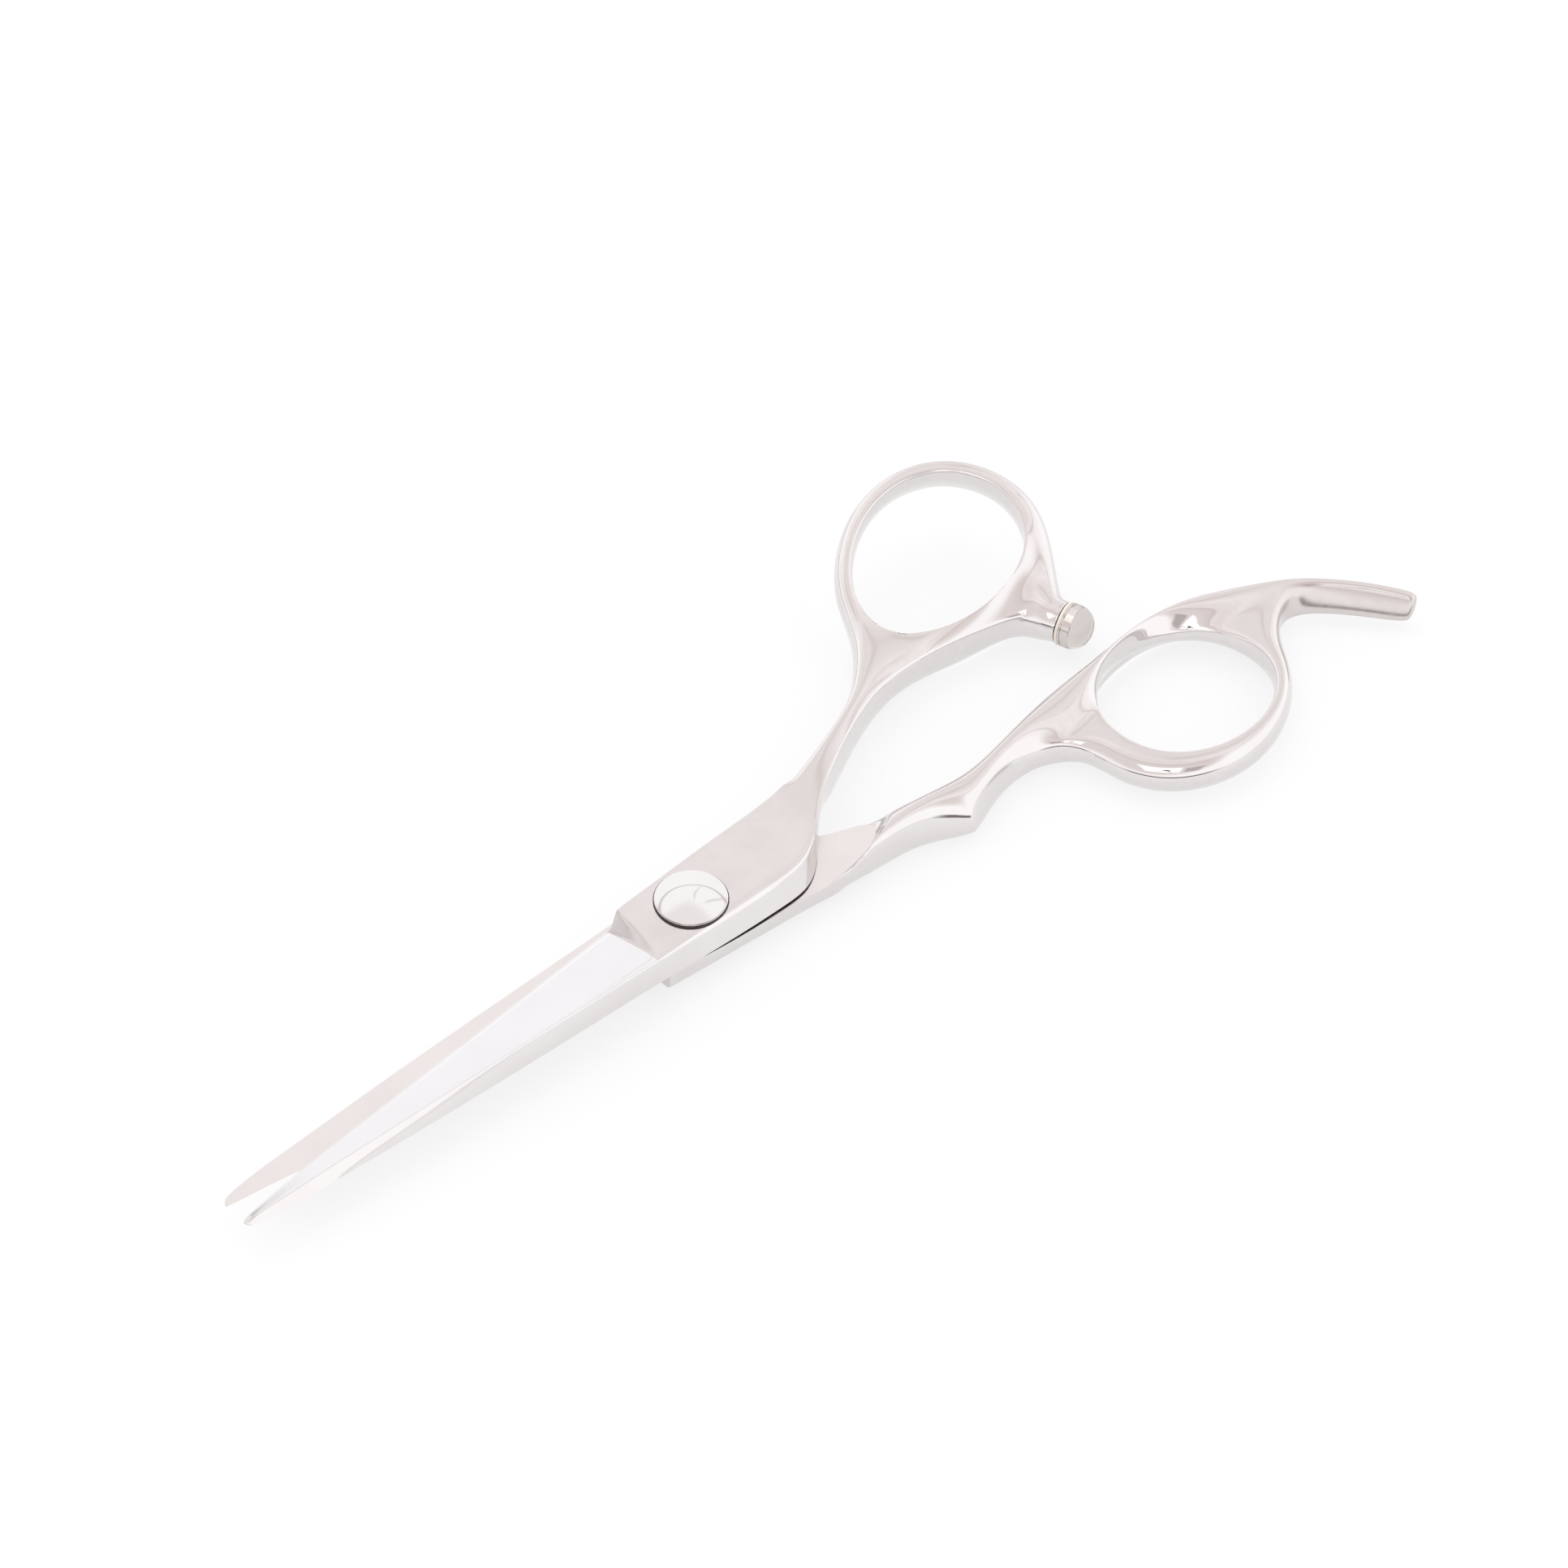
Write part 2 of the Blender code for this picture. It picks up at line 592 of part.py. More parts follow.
def add_cutter(name, profile, collection, frame, segments=48):
    made = turned(name, profile, collection, parent=frame, segments=segments, closed=False)
    made.hide_render = True
    made.display_type = "WIRE"
    return made


def add_box_cutter(name, centre, size, collection, frame):
    bm = bmesh.new()
    bmesh.ops.create_cube(bm, size=1.0)
    bmesh.ops.scale(bm, vec=size, verts=bm.verts)
    bmesh.ops.translate(bm, vec=centre, verts=bm.verts)
    made = add_object(name, mesh_from(name, bm), collection, parent=frame)
    made.hide_render = True
    made.display_type = "WIRE"
    return made


def double_d(name, radius, half_width, low, high, collection, frame, segments=48):
    """A round bar with two flats facing +X and -X, used to key the screw into its half."""
    bm = bmesh.new()
    bmesh.ops.create_cone(bm, cap_ends=True, segments=segments, radius1=radius, radius2=radius,
        depth=high - low)
    bmesh.ops.translate(bm, vec=(0, 0, (high + low) / 2), verts=bm.verts)
    for v in bm.verts:
        v.co.x = max(-half_width, min(half_width, v.co.x))
    made = add_object(name, mesh_from(name, bm), collection, parent=frame)
    made.hide_render = True
    made.display_type = "WIRE"
    return made


def solid_cylinder_profile(radius, low, high):
    return [(0, high), (radius, high), (radius, low), (0, low)]


def add_pivot_screw(collection, cutters, frame):
    """Domed head and stepped shaft; two flats key it into the finger half."""
    rim_top = HEAD_BASE + HEAD_RIM
    dome = []
    for i in range(7):
        f = i / 6
        radius = HEAD_RADIUS * f
        dome.append((radius, rim_top + HEAD_DOME * (1 - f ** 1.6)))
    profile = dome + [
        (HEAD_RADIUS, HEAD_BASE + 0.05), (HEAD_RADIUS - 0.05, HEAD_BASE), (SHAFT_RADIUS, HEAD_BASE),
        (SHAFT_RADIUS, NUT_THICKNESS + 0.14), (THREAD_RADIUS, NUT_THICKNESS + 0.14),
        (THREAD_RADIUS, 0.0), (0.0, 0.0),
    ]
    screw = turned("pivot_screw", profile, collection, "mirror_steel", frame, segments=40, closed=False)
    for side in (-1, 1):
        name = "screw_flat_cutter_left" if side < 0 else "screw_flat_cutter_right"
        centre = (side * (KEY_HALF_WIDTH + 1.0), 0, KEY_TOP / 2)
        flat = add_box_cutter(name, centre, (2.0, 5.0, KEY_TOP), cutters, frame)
        cut = screw.modifiers.new(flat.name, "BOOLEAN")
        cut.operation = "DIFFERENCE"
        cut.solver = "EXACT"
        cut.object = flat
    return screw


def add_bearing(collection, finger_frame, thumb_frame, cage_frame):
    """Thrust bearing between the halves: two races, a ball cage and its balls."""
    bore = SHAFT_RADIUS + RUNNING_GAP
    race_outer = RACE_RECESS_RADIUS - RUNNING_GAP
    top = LAP_HEIGHT + LAP_GAP / 2 + RACE_RECESS_DEPTH - 0.01
    bottom = LAP_HEIGHT - LAP_GAP / 2 - RACE_RECESS_DEPTH + 0.01
    turned("upper_race", ring_profile(2.68, race_outer, top - RACE_THICKNESS, top), collection,
           "bearing_steel", thumb_frame, 36)
    turned("lower_race", ring_profile(bore, race_outer, bottom, bottom + RACE_THICKNESS), collection,
           "bearing_steel", finger_frame, 36)
    cage = turned("ball_cage", ring_profile(2.72, 3.94, LAP_HEIGHT - 0.13, LAP_HEIGHT + 0.13), collection,
                  "brown_polymer", cage_frame, 40)
    pockets = bmesh.new()
    ball_mesh_maker = bmesh.new()
    bmesh.ops.create_uvsphere(ball_mesh_maker, u_segments=10, v_segments=7, radius=BALL_RADIUS)
    ball_mesh = mesh_from("bearing_ball", ball_mesh_maker)
    ball_mesh.materials.append(material("bearing_steel"))
    for i in range(BALL_COUNT):
        angle = 2 * math.pi * i / BALL_COUNT
        place = Vector((BALL_PITCH_RADIUS * math.cos(angle), BALL_PITCH_RADIUS * math.sin(angle),
            LAP_HEIGHT))
        ball = bpy.data.objects.new("bearing_ball_%02d" % (i + 1), ball_mesh)
        collection.objects.link(ball)
        ball.parent = cage_frame
        ball.location = place * MM
        bmesh.ops.create_cone(pockets, cap_ends=True, segments=12, radius1=BALL_RADIUS + 0.09,
                              radius2=BALL_RADIUS + 0.09, depth=1.0, matrix=Matrix.Translation(place))
    cutter = add_object("ball_pocket_cutter", mesh_from("ball_pocket_cutter", pockets),
                        bpy.data.collections["shear_cutters"], parent=cage_frame)
    cutter.hide_render = True
    cutter.display_type = "WIRE"
    cut = cage.modifiers.new(cutter.name, "BOOLEAN")
    cut.operation = "DIFFERENCE"
    cut.solver = "EXACT"
    cut.object = cutter


def add_tension_dial(collection, cutters, finger_frame, dial_frame):
    """Underside: spring washer and click plate in the finger half, and the fluted tension nut."""
    bore = SHAFT_RADIUS + RUNNING_GAP
    top = SPRING_RECESS_TOP - 0.02
    outer = SPRING_RECESS_RADIUS - 0.2
    turned("spring_washer", [(bore + 0.1, top), (bore + 0.8, top), (outer, top - 0.25),
        (outer, top - 0.5),
                             (bore + 0.8, top - 0.25), (bore + 0.1, top - 0.25)],
           collection, "bearing_steel", finger_frame, 32)
    plate = turned("click_plate", ring_profile(bore + 0.05, outer, NUT_THICKNESS + 0.05,
        NUT_THICKNESS + 0.45),
                   collection, "bearing_steel", finger_frame, 32)
    detents = bmesh.new()
    for i in range(12):
        angle = 2 * math.pi * i / 12
        place = Vector((outer * math.cos(angle), outer * math.sin(angle), NUT_THICKNESS + 0.25))
        bmesh.ops.create_cone(detents, cap_ends=True, segments=8, radius1=0.35, radius2=0.35, depth=1.0,
                              matrix=Matrix.Translation(place))
    cutter = add_object("detent_cutter", mesh_from("detent_cutter", detents),
        cutters, parent=finger_frame)
    cutter.hide_render = True
    cutter.display_type = "WIRE"
    cut = plate.modifiers.new(cutter.name, "BOOLEAN")
    cut.operation = "DIFFERENCE"
    cut.solver = "EXACT"
    cut.object = cutter
    nut = turned("tension_nut", ring_profile(THREAD_RADIUS + 0.05, NUT_RADIUS, 0.0, NUT_THICKNESS, 0.15),
                 collection, "satin_steel", dial_frame, 48)
    flutes = bmesh.new()
    for i in range(16):
        angle = 2 * math.pi * (i + 0.5) / 16
        place = Vector(((NUT_RADIUS + 0.25) * math.cos(angle), (NUT_RADIUS + 0.25) * math.sin(angle),
            0.6))
        bmesh.ops.create_cone(flutes, cap_ends=True, segments=10, radius1=0.5, radius2=0.5, depth=3.0,
                              matrix=Matrix.Translation(place))
    cutter = add_object("nut_flute_cutter", mesh_from("nut_flute_cutter", flutes),
        cutters, parent=dial_frame)
    cutter.hide_render = True
    cutter.display_type = "WIRE"
    cut = nut.modifiers.new(cutter.name, "BOOLEAN")
    cut.operation = "DIFFERENCE"
    cut.solver = "EXACT"
    cut.object = cutter


def add_bumper(collection, thumb_frame):
    """Clear rest pad on a steel stud, with a cream seat ring against the boss."""
    heading = math.radians(BUMPER_ANGLE)
    stand = bpy.data.objects.new("bumper_frame", None)
    collection.objects.link(stand)
    stand.parent = thumb_frame
    stand.location = BOSS_CENTRE * MM
    stand.rotation_euler = (0, math.pi / 2, heading)
    outer = BUMPER_RADIUS
    turned("bumper_stud", [(0, 1.75), (1.9, 1.75), (2.0, 1.65), (2.0, 0.55), (0.8, 0.55),
           (0.8, -2.6), (0, -2.6)], collection, "bearing_steel", stand, 32, closed=False)
    turned("bumper_seat", [(0.9, 0.48), (outer, 0.48), (outer, 0.2), (1.9, 0.2), (1.9, 0.02),
           (0.9, 0.02)], collection, "cream_polymer", stand, 32)
    dome = [(0.0, 3.85), (0.95, 3.72), (1.8, 3.3), (2.42, 2.62), (outer, 1.8)]
    turned("bumper", dome + [(outer, 0.52), (2.12, 0.52), (2.12, 1.87), (0.0, 1.87)], collection,
           "clear_polymer", stand, 32, closed=False)


def add_frame(name, collection, opening):
    frame = bpy.data.objects.new(name, None)
    collection.objects.link(frame)
    frame.rotation_euler = (0, 0, math.radians(opening))
    return frame


def build():
    for old in list(bpy.data.objects):
        bpy.data.objects.remove(old, do_unlink=True)
    shears = bpy.data.collections.new("hair_cutting_shears")
    cutters = bpy.data.collections.new("shear_cutters")
    bpy.context.scene.collection.children.link(shears)
    bpy.context.scene.collection.children.link(cutters)

    thumb_frame = add_frame("thumb_frame", shears, REST_OPENING / 2)
    finger_frame = add_frame("finger_frame", shears, -REST_OPENING / 2)
    cage_frame = add_frame("cage_frame", shears, 0.0)
    dial_frame = add_frame("dial_frame", shears, -REST_OPENING / 2)

    lap_top = LAP_HEIGHT + LAP_GAP / 2
    lap_bottom = LAP_HEIGHT - LAP_GAP / 2
    thumb_cuts = [
        add_cutter("bush_bore_cutter", solid_cylinder_profile(2.6, 3.0, 9.0), cutters, thumb_frame),
        add_cutter("upper_race_cutter", solid_cylinder_profile(RACE_RECESS_RADIUS, 3.0,
            lap_top + RACE_RECESS_DEPTH),
                   cutters, thumb_frame),
    ]
    finger_cuts = [
        double_d("key_hole_cutter", SHAFT_RADIUS + RUNNING_GAP, KEY_HALF_WIDTH + 0.05, 0.0, KEY_TOP,
            cutters, finger_frame),
        add_cutter("lower_race_cutter", solid_cylinder_profile(RACE_RECESS_RADIUS,
            lap_bottom - RACE_RECESS_DEPTH, 6.0),
                   cutters, finger_frame),
        add_cutter("spring_recess_cutter", solid_cylinder_profile(SPRING_RECESS_RADIUS, 0.0,
            SPRING_RECESS_TOP),
                   cutters, finger_frame),
    ]
    heading = math.radians(BUMPER_ANGLE)
    stud_bore = add_cutter("stud_bore_cutter", solid_cylinder_profile(0.95, -2.9, 2.0),
        cutters, thumb_frame, 24)
    stud_bore.location = BOSS_CENTRE * MM
    stud_bore.rotation_euler = (0, math.pi / 2, heading)
    thumb_cuts.append(stud_bore)

    add_half("thumb_half", thumb_half_cage(), thumb_frame, shears, thumb_cuts)
    add_half("finger_half", finger_half_cage(), finger_frame, shears, finger_cuts)
    add_pivot_screw(shears, cutters, finger_frame)
    turned("head_disc", ring_profile(1.9, 4.12, 7.33, 7.42), shears, "bearing_steel", finger_frame, 40)
    turned("head_washer", ring_profile(1.9, 4.24, 7.12, 7.31, 0.04),
        shears, "black_polymer", finger_frame, 40)
    turned("pivot_bush", ring_profile(SHAFT_RADIUS + RUNNING_GAP, 2.52, 4.35, 7.08, 0.08), shears,
           "brown_polymer", thumb_frame, 32)
    add_bearing(shears, finger_frame, thumb_frame, cage_frame)
    add_tension_dial(shears, cutters, finger_frame, dial_frame)
    add_bumper(shears, thumb_frame)


build()
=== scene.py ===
"""Looks of the hair cutting shears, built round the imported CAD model.

The two halves, the pivot screw and the bumper are modelled again as fine surfaces, in the CAD model's own
frame and sizes. The other CAD nodes stay as they are and take procedural finishes."""
import json
import math

import bmesh
import bpy
from mathutils import Matrix, Vector


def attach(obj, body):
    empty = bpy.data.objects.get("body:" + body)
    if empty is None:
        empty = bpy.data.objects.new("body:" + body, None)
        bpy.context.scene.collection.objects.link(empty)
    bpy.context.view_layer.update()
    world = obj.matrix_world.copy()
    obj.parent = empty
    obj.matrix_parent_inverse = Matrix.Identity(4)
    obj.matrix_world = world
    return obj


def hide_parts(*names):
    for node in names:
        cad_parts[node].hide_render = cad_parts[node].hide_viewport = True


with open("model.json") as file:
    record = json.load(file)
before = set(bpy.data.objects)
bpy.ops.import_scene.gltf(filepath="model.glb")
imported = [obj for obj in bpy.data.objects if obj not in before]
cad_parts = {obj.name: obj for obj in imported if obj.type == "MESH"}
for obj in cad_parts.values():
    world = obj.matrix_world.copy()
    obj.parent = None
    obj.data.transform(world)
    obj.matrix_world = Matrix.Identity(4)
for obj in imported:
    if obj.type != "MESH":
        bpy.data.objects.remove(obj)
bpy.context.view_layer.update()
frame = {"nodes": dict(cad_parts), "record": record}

MM = 0.001

# Driving dimensions, in millimetres and degrees
REST_OPENING = 2.85            # angle between the two blades as the shears lie
LAP_HEIGHT = 4.2               # plane where the two halves slide on each other
LAP_GAP = 0.1                  # oil gap between the two lap faces
THICKNESS = 2.85               # of each half at the pivot
SUBDIVISIONS = 3

HEAD_RADIUS = 4.0
HEAD_RIM = 0.1                 # height of the upright rim below the dome
HEAD_DOME = 0.95
HEAD_BASE = 7.44               # height of the underside of the screw head
SHAFT_RADIUS = 1.75
KEY_HALF_WIDTH = 1.45          # half distance across the two flats that key the screw
KEY_TOP = 3.7                  # height at which the keyed hole ends
THREAD_RADIUS = 1.35
RUNNING_GAP = 0.08             # between the screw and its keyed hole

RACE_RECESS_RADIUS = 4.1
RACE_RECESS_DEPTH = 0.72

NUT_THICKNESS = 1.12
THREAD_SHOULDER = 0.14         # height of the screw's shoulder over the nut
SPRING_RECESS_RADIUS = 3.7
SPRING_RECESS_TOP = 2.2

BOSS_CENTRE = Vector((63.55, 4.95, 4.0))
BUMPER_ANGLE = -72.0           # heading of the bumper's axis in plan
BUMPER_RADIUS = 2.72

# One blade: distance from the pivot, half-widths to the cutting edge, the ridge and the spine, height
BLADE_STATIONS = (
    (62.4, 0.14, 0.10, 0.58, 0.42),
    (61.6, 0.24, 0.42, 0.98, 0.64),
    (60.0, 0.42, 0.62, 1.32, 0.79),
    (56.0, 0.80, 0.88, 1.84, 1.06),
    (51.5, 1.52, 1.22, 2.12, 1.34),
    (45.0, 2.14, 1.75, 2.66, 1.68),
    (37.0, 2.72, 2.28, 3.25, 2.02),
    (28.0, 3.32, 2.85, 3.78, 2.36),
    (19.0, 3.95, 3.45, 4.28, 2.62),
    (11.5, 4.48, 3.95, 4.66, 2.80),
    (8.4, 4.66, 4.06, 4.84, 2.85),
)
# The thumb blade is a little fuller at the tip: extra half-width to the edge, station by station
THUMB_TIP_FULLNESS = (0.06, 0.22, 0.31, 0.35, 0.2, 0.05)
# The pivot block: distance along +X, half-widths to the outer wall, the ridge and the spine
BLOCK_STATIONS = (
    (-6.9, 4.72, 4.14, 4.95),
    (-3.0, 4.90, 4.20, 5.25),
    (3.0, 5.18, 4.36, 5.62),
    (8.5, 5.42, 4.42, 5.80),
)

# Loops: centre of the inner rim, half-axes of the rim, turn of the long axis, slopes of its plane,
# three-lobed swelling of the rim and its heading, height of the loop, height of its inner wall
THUMB_LOOP = dict(
    centre=(57.25, 20.3, 9.08), axes=(11.8, 9.4), turn=10.8, slope=(0.2, 0.25),
    swelling=0.0375, heading=-49.8, height=4.9, wall=3.9)
FINGER_LOOP = dict(
    centre=(66.5, -9.85, 5.0), axes=(11.1, 9.57), turn=0.0, slope=(0.0, 0.0),
    swelling=0.016, heading=-21.0, height=4.65, wall=3.2)

# Crease weights of the fine surface: a low one leaves a rounder edge
RIDGE_CREASE = 0.36
EDGE_CREASE = 0.47

# The two halves: a coarse cage of eight-point sections under a subdivision surface.
# Section points: 0 bottom left, 1 bottom, 2 bottom right, 3 right, 4 top right, 5 top, 6 top left,
# 7 left, where left is +Y.

def blade_section(distance, edge, ridge, spine, height):
    """Section of a blade lying on the lap plane, with the ridge up and a fine bevel at the edge.
    A flat strip beside the ridge narrows from the block towards the tip."""
    x = -distance
    base = LAP_GAP / 2
    bevel = min(1.0, edge / 1.6)
    strip = max(0.16 * min(1.0, ridge), 1.15 - distance / 26)
    lip = Vector((x, edge - 0.55 * bevel, base + 0.32 * bevel))
    sharp = Vector((x, edge, base))
    return [
        sharp,
        Vector((x, (edge - spine) / 2, base)),
        Vector((x, -spine, base)),
        Vector((x, -(ridge + spine) / 2 - 0.06 * height, base + 0.5 * height)),
        Vector((x, -ridge, base + height)),
        Vector((x, strip - ridge, base + height)),
        lip,
        (lip + sharp) / 2,
    ]


def block_section(x, edge, ridge, spine):
    """Section of the thick block round the pivot, flat on top."""
    base = LAP_GAP / 2
    top = base + THICKNESS
    return [
        Vector((x, edge, base)),
        Vector((x, (edge - spine) / 2, base)),
        Vector((x, -spine, base)),
        Vector((x, -(ridge + spine) / 2, base + 0.5 * THICKNESS)),
        Vector((x, -ridge, top)),
        Vector((x, 0.0, top)),
        Vector((x, edge - 0.12, top)),
        Vector((x, edge, base + 0.5 * THICKNESS)),
    ]


def blade_and_block(fuller=()):
    """Sections from the tip to the end of the pivot block, heights counted from the lap plane. The
    cutting edge of each station near the tip stands out by its number in fuller."""
    rows = [list(row) for row in BLADE_STATIONS]
    for row, extra in zip(rows, fuller):
        row[1] += extra
    sections = [blade_section(*row) for row in rows]
    sections += [block_section(*row) for row in BLOCK_STATIONS]
    step, behind = sections[len(BLADE_STATIONS):len(BLADE_STATIONS) + 2]
    step[4].x -= 1.2
    step[5].xy = (step[5].x - 0.8, -2.7)
    behind[5].xy = (behind[5].x - 0.4, -1.2)
    return sections


def turned_over(section):
    """The same section for the other half: turned half a turn about the X axis."""
    flipped = [Vector((p.x, -p.y, -p.z)) for p in section]
    return flipped[4:] + flipped[:4]


def lifted(section):
    return [p + Vector((0, 0, LAP_HEIGHT)) for p in section]


def box_section(top_left, top_right, bottom_right, bottom_left, crown=0.0, keel=None,
                left=0.0, right=0.0):
    """Section from its four corners. The middle of the top stands proud by crown, that of a side by
    left or right, and the middle of the bottom is at the height keel."""
    tl, tr, br, bl = (Vector(p) for p in (top_left, top_right, bottom_right, bottom_left))
    across = (tl - tr).xy.normalized().to_3d()
    up = Vector((0, 0, 1))
    bottom = (bl + br) / 2
    if keel is not None:
        bottom.z = keel
    return [
        bl,
        bottom,
        br,
        (br + tr) / 2 - across * right,
        tr,
        (tl + tr) / 2 + up * crown,
        tl,
        (tl + bl) / 2 + across * left,
    ]


def loop_frame(loop):
    """Centre, long direction, short direction and normal of a loop's rim plane."""
    slope_x, slope_y = loop["slope"]
    normal = Vector((-slope_x, -slope_y, 1)).normalized()
    level = Vector((1, 0, 0)) - normal * normal.x
    long_way = Matrix.Rotation(math.radians(loop["turn"]), 3, normal) @ level.normalized()
    return Vector(loop["centre"]), long_way, normal.cross(long_way), normal


def rim_point(loop, angle, grow=1.0):
    centre, long_way, short_way, _ = loop_frame(loop)
    a, b = loop["axes"]
    t = math.radians(angle)
    grow *= 1 + loop["swelling"] * math.cos(3 * (t - math.radians(loop["heading"])))
    return centre + long_way * (a * grow * math.cos(t)) + short_way * (b * grow * math.sin(t))


def rim_outward(loop, angle):
    _, long_way, short_way, _ = loop_frame(loop)
    a, b = loop["axes"]
    t = math.radians(angle)
    return (long_way * (math.cos(t) / a) + short_way * (math.sin(t) / b)).normalized()


def loop_section(loop, angle, width, grow):
    """Section of a finger loop: a crisp inner rim on top, a full outer side, soft underneath."""
    rim = rim_point(loop, angle, grow)
    height = loop["height"]
    out = rim_outward(loop, angle)
    normal = loop_frame(loop)[3]

    def at(outward, upward):
        return rim + out * outward + normal * upward

    return dict(
        rim=at(0.0, 0.0),
        top=at(0.42 * width, 0.2),
        outer_top=at(0.92 * width, -0.6),
        outer=at(1.04 * width, -0.5 * height),
        outer_bottom=at(0.86 * width, -height + 0.75),
        bottom=at(0.5 * width, -height - 0.2),
        inner_bottom=at(0.05, -loop["wall"]),
        inner=at(-0.45, -0.5 * loop["wall"]),
    )


PATCH_ORDER = ("outer_top", "top", "rim", "inner", "inner_bottom", "bottom", "outer_bottom", "outer")


class Cage:
    """Quads between eight-point sections, with creases, for a subdivision surface."""

    def __init__(self):
        self.bm = bmesh.new()
        self.crease = self.bm.edges.layers.float.new("crease_edge")

    def ring(self, points):
        return [self.bm.verts.new(p) for p in points]

    def band(self, first, second, skip=(), zones=()):
        for k in range(8):
            if k in skip:
                continue
            face = self.bm.faces.new((first[k], first[(k + 1) % 8], second[(k + 1) % 8], second[k]))
            face.material_index = zones[k] if zones else 0

    def cap(self, ring):
        centre = self.bm.verts.new(sum((v.co for v in ring), Vector()) / 8)
        for k in (0, 2, 4, 6):
            self.bm.faces.new((ring[k - 1], ring[k], ring[k + 1], centre))

    def path(self, sections, gaps=(), zones=None):
        """Join the sections in a row. A gap (i, side) leaves two bands of that side open."""
        zones = zones or {}
        rings = [self.ring(points) for points in sections]
        for i in range(len(rings) - 1):
            skip = []
            for start, side in gaps:
                if start <= i < start + 2:
                    skip += [6, 7] if side == "left" else [2, 3]
            self.band(rings[i], rings[i + 1], skip, zones.get(i, ()))
        self.cap(rings[0])
        self.cap(rings[-1])
        return rings

    def mark(self, a, b, value):
        edge = self.bm.edges.get((a, b))
        if edge is not None:
            edge[self.crease] = max(edge[self.crease], value)

    def crease_line(self, rings, point, first, last, value):
        for i in range(first, last):
            self.mark(rings[i][point], rings[i + 1][point], value)

    def crease_across(self, rings, station, points, value):
        for a, b in zip(points, points[1:]):
            self.mark(rings[station][a], rings[station][b], value)

    def arc(self, patch_a, patch_b, sections, rim_crease, floor_crease):
        """Bridge patch_a to patch_b through loop sections; patches are eight vertices in PATCH_ORDER."""
        rings = [patch_a]
        rings += [self.ring([s[name] for name in PATCH_ORDER]) for s in sections]
        rings.append(patch_b)
        for first, second in zip(rings, rings[1:]):
            self.band(first, second)
            self.mark(first[2], second[2], rim_crease)
            self.mark(first[4], second[4], floor_crease)
        return rings


def patch(rings, start, side, outer_first):
    """The eight border vertices of a two-by-two gap in a path's side, in PATCH_ORDER."""
    top, middle, bottom = (6, 7, 0) if side == "left" else (4, 3, 2)
    i, j = (start, start + 2) if outer_first else (start + 2, start)
    m = start + 1
    return [
        rings[i][top], rings[m][top], rings[j][top],
        rings[j][middle], rings[j][bottom],
        rings[m][bottom], rings[i][bottom], rings[i][middle],
    ]


def drop_loose(cage):
    loose = [v for v in cage.bm.verts if not v.link_faces]
    bmesh.ops.delete(cage.bm, geom=loose, context="VERTS")


def crease_blade(cage, rings, cutting, spine, ridge, lip, roof):
    """Crisp cutting edge, spine, ridge and step; roof is the outer face's middle point."""
    last_blade = len(BLADE_STATIONS) - 1
    block_end = last_blade + len(BLOCK_STATIONS)
    cage.crease_line(rings, cutting, 0, block_end, 1.0)
    cage.crease_line(rings, spine, 0, block_end, 1.0)
    cage.crease_line(rings, ridge, 1, block_end, RIDGE_CREASE)
    cage.crease_line(rings, lip, 1, last_blade, 0.8)
    cage.crease_line(rings, lip, last_blade, block_end, 0.7)
    wall = (cutting + 7) % 8
    for station, value in ((last_blade, 0.7), (last_blade + 1, 0.85)):
        cage.crease_across(rings, station, (cutting, wall, lip, roof), value)
        cage.crease_across(rings, station, (roof, ridge), 0.6 * value)


def finish_zones(lap_end, flipped):
    """Which finish each band of the blade and block takes, as a material slot number."""
    polished, hollow, satin, ground, bevel = range(5)
    blade = [ground, ground, polished, polished, hollow, hollow, bevel, bevel]
    block = [ground, ground, polished, polished, satin, satin, polished, polished]
    zones = {}
    last_blade = len(BLADE_STATIONS) - 1
    for i in range(lap_end):
        if i < last_blade:
            row = blade
        elif i == last_blade:
            row = [ground, ground, polished, polished, satin, satin, satin, satin]
        else:
            row = block
        zones[i] = row[4:] + row[:4] if flipped else row
    return zones


def boss_sections():
    """Round sections of the bumper boss, back to front."""
    heading = Vector((math.cos(math.radians(BUMPER_ANGLE)), math.sin(math.radians(BUMPER_ANGLE)), 0))
    side = Vector((-heading.y, heading.x, 0))
    up = Vector((0, 0, 1))
    sections = []
    for back, radius in ((1.9, 3.2), (0.7, 2.9), (0.0, 2.86)):
        centre = BOSS_CENTRE - heading * back
        corner = radius * math.sqrt(0.5)
        sections.append([
            centre + side * corner - up * corner, centre - up * radius,
            centre - side * corner - up * corner, centre - side * radius,
            centre - side * corner + up * corner, centre + up * radius,
            centre + side * corner + up * corner, centre + side * radius,
        ])
    return sections


def loop_arc(loop, first, spread, widths):
    """Sections of the free part of a loop, at even angles; grow makes up for the smoothing."""
    grow = 3.0 / (2.0 + math.cos(math.radians(spread)))
    return [loop_section(loop, first + spread * i, width, grow) for i, width in enumerate(widths)]


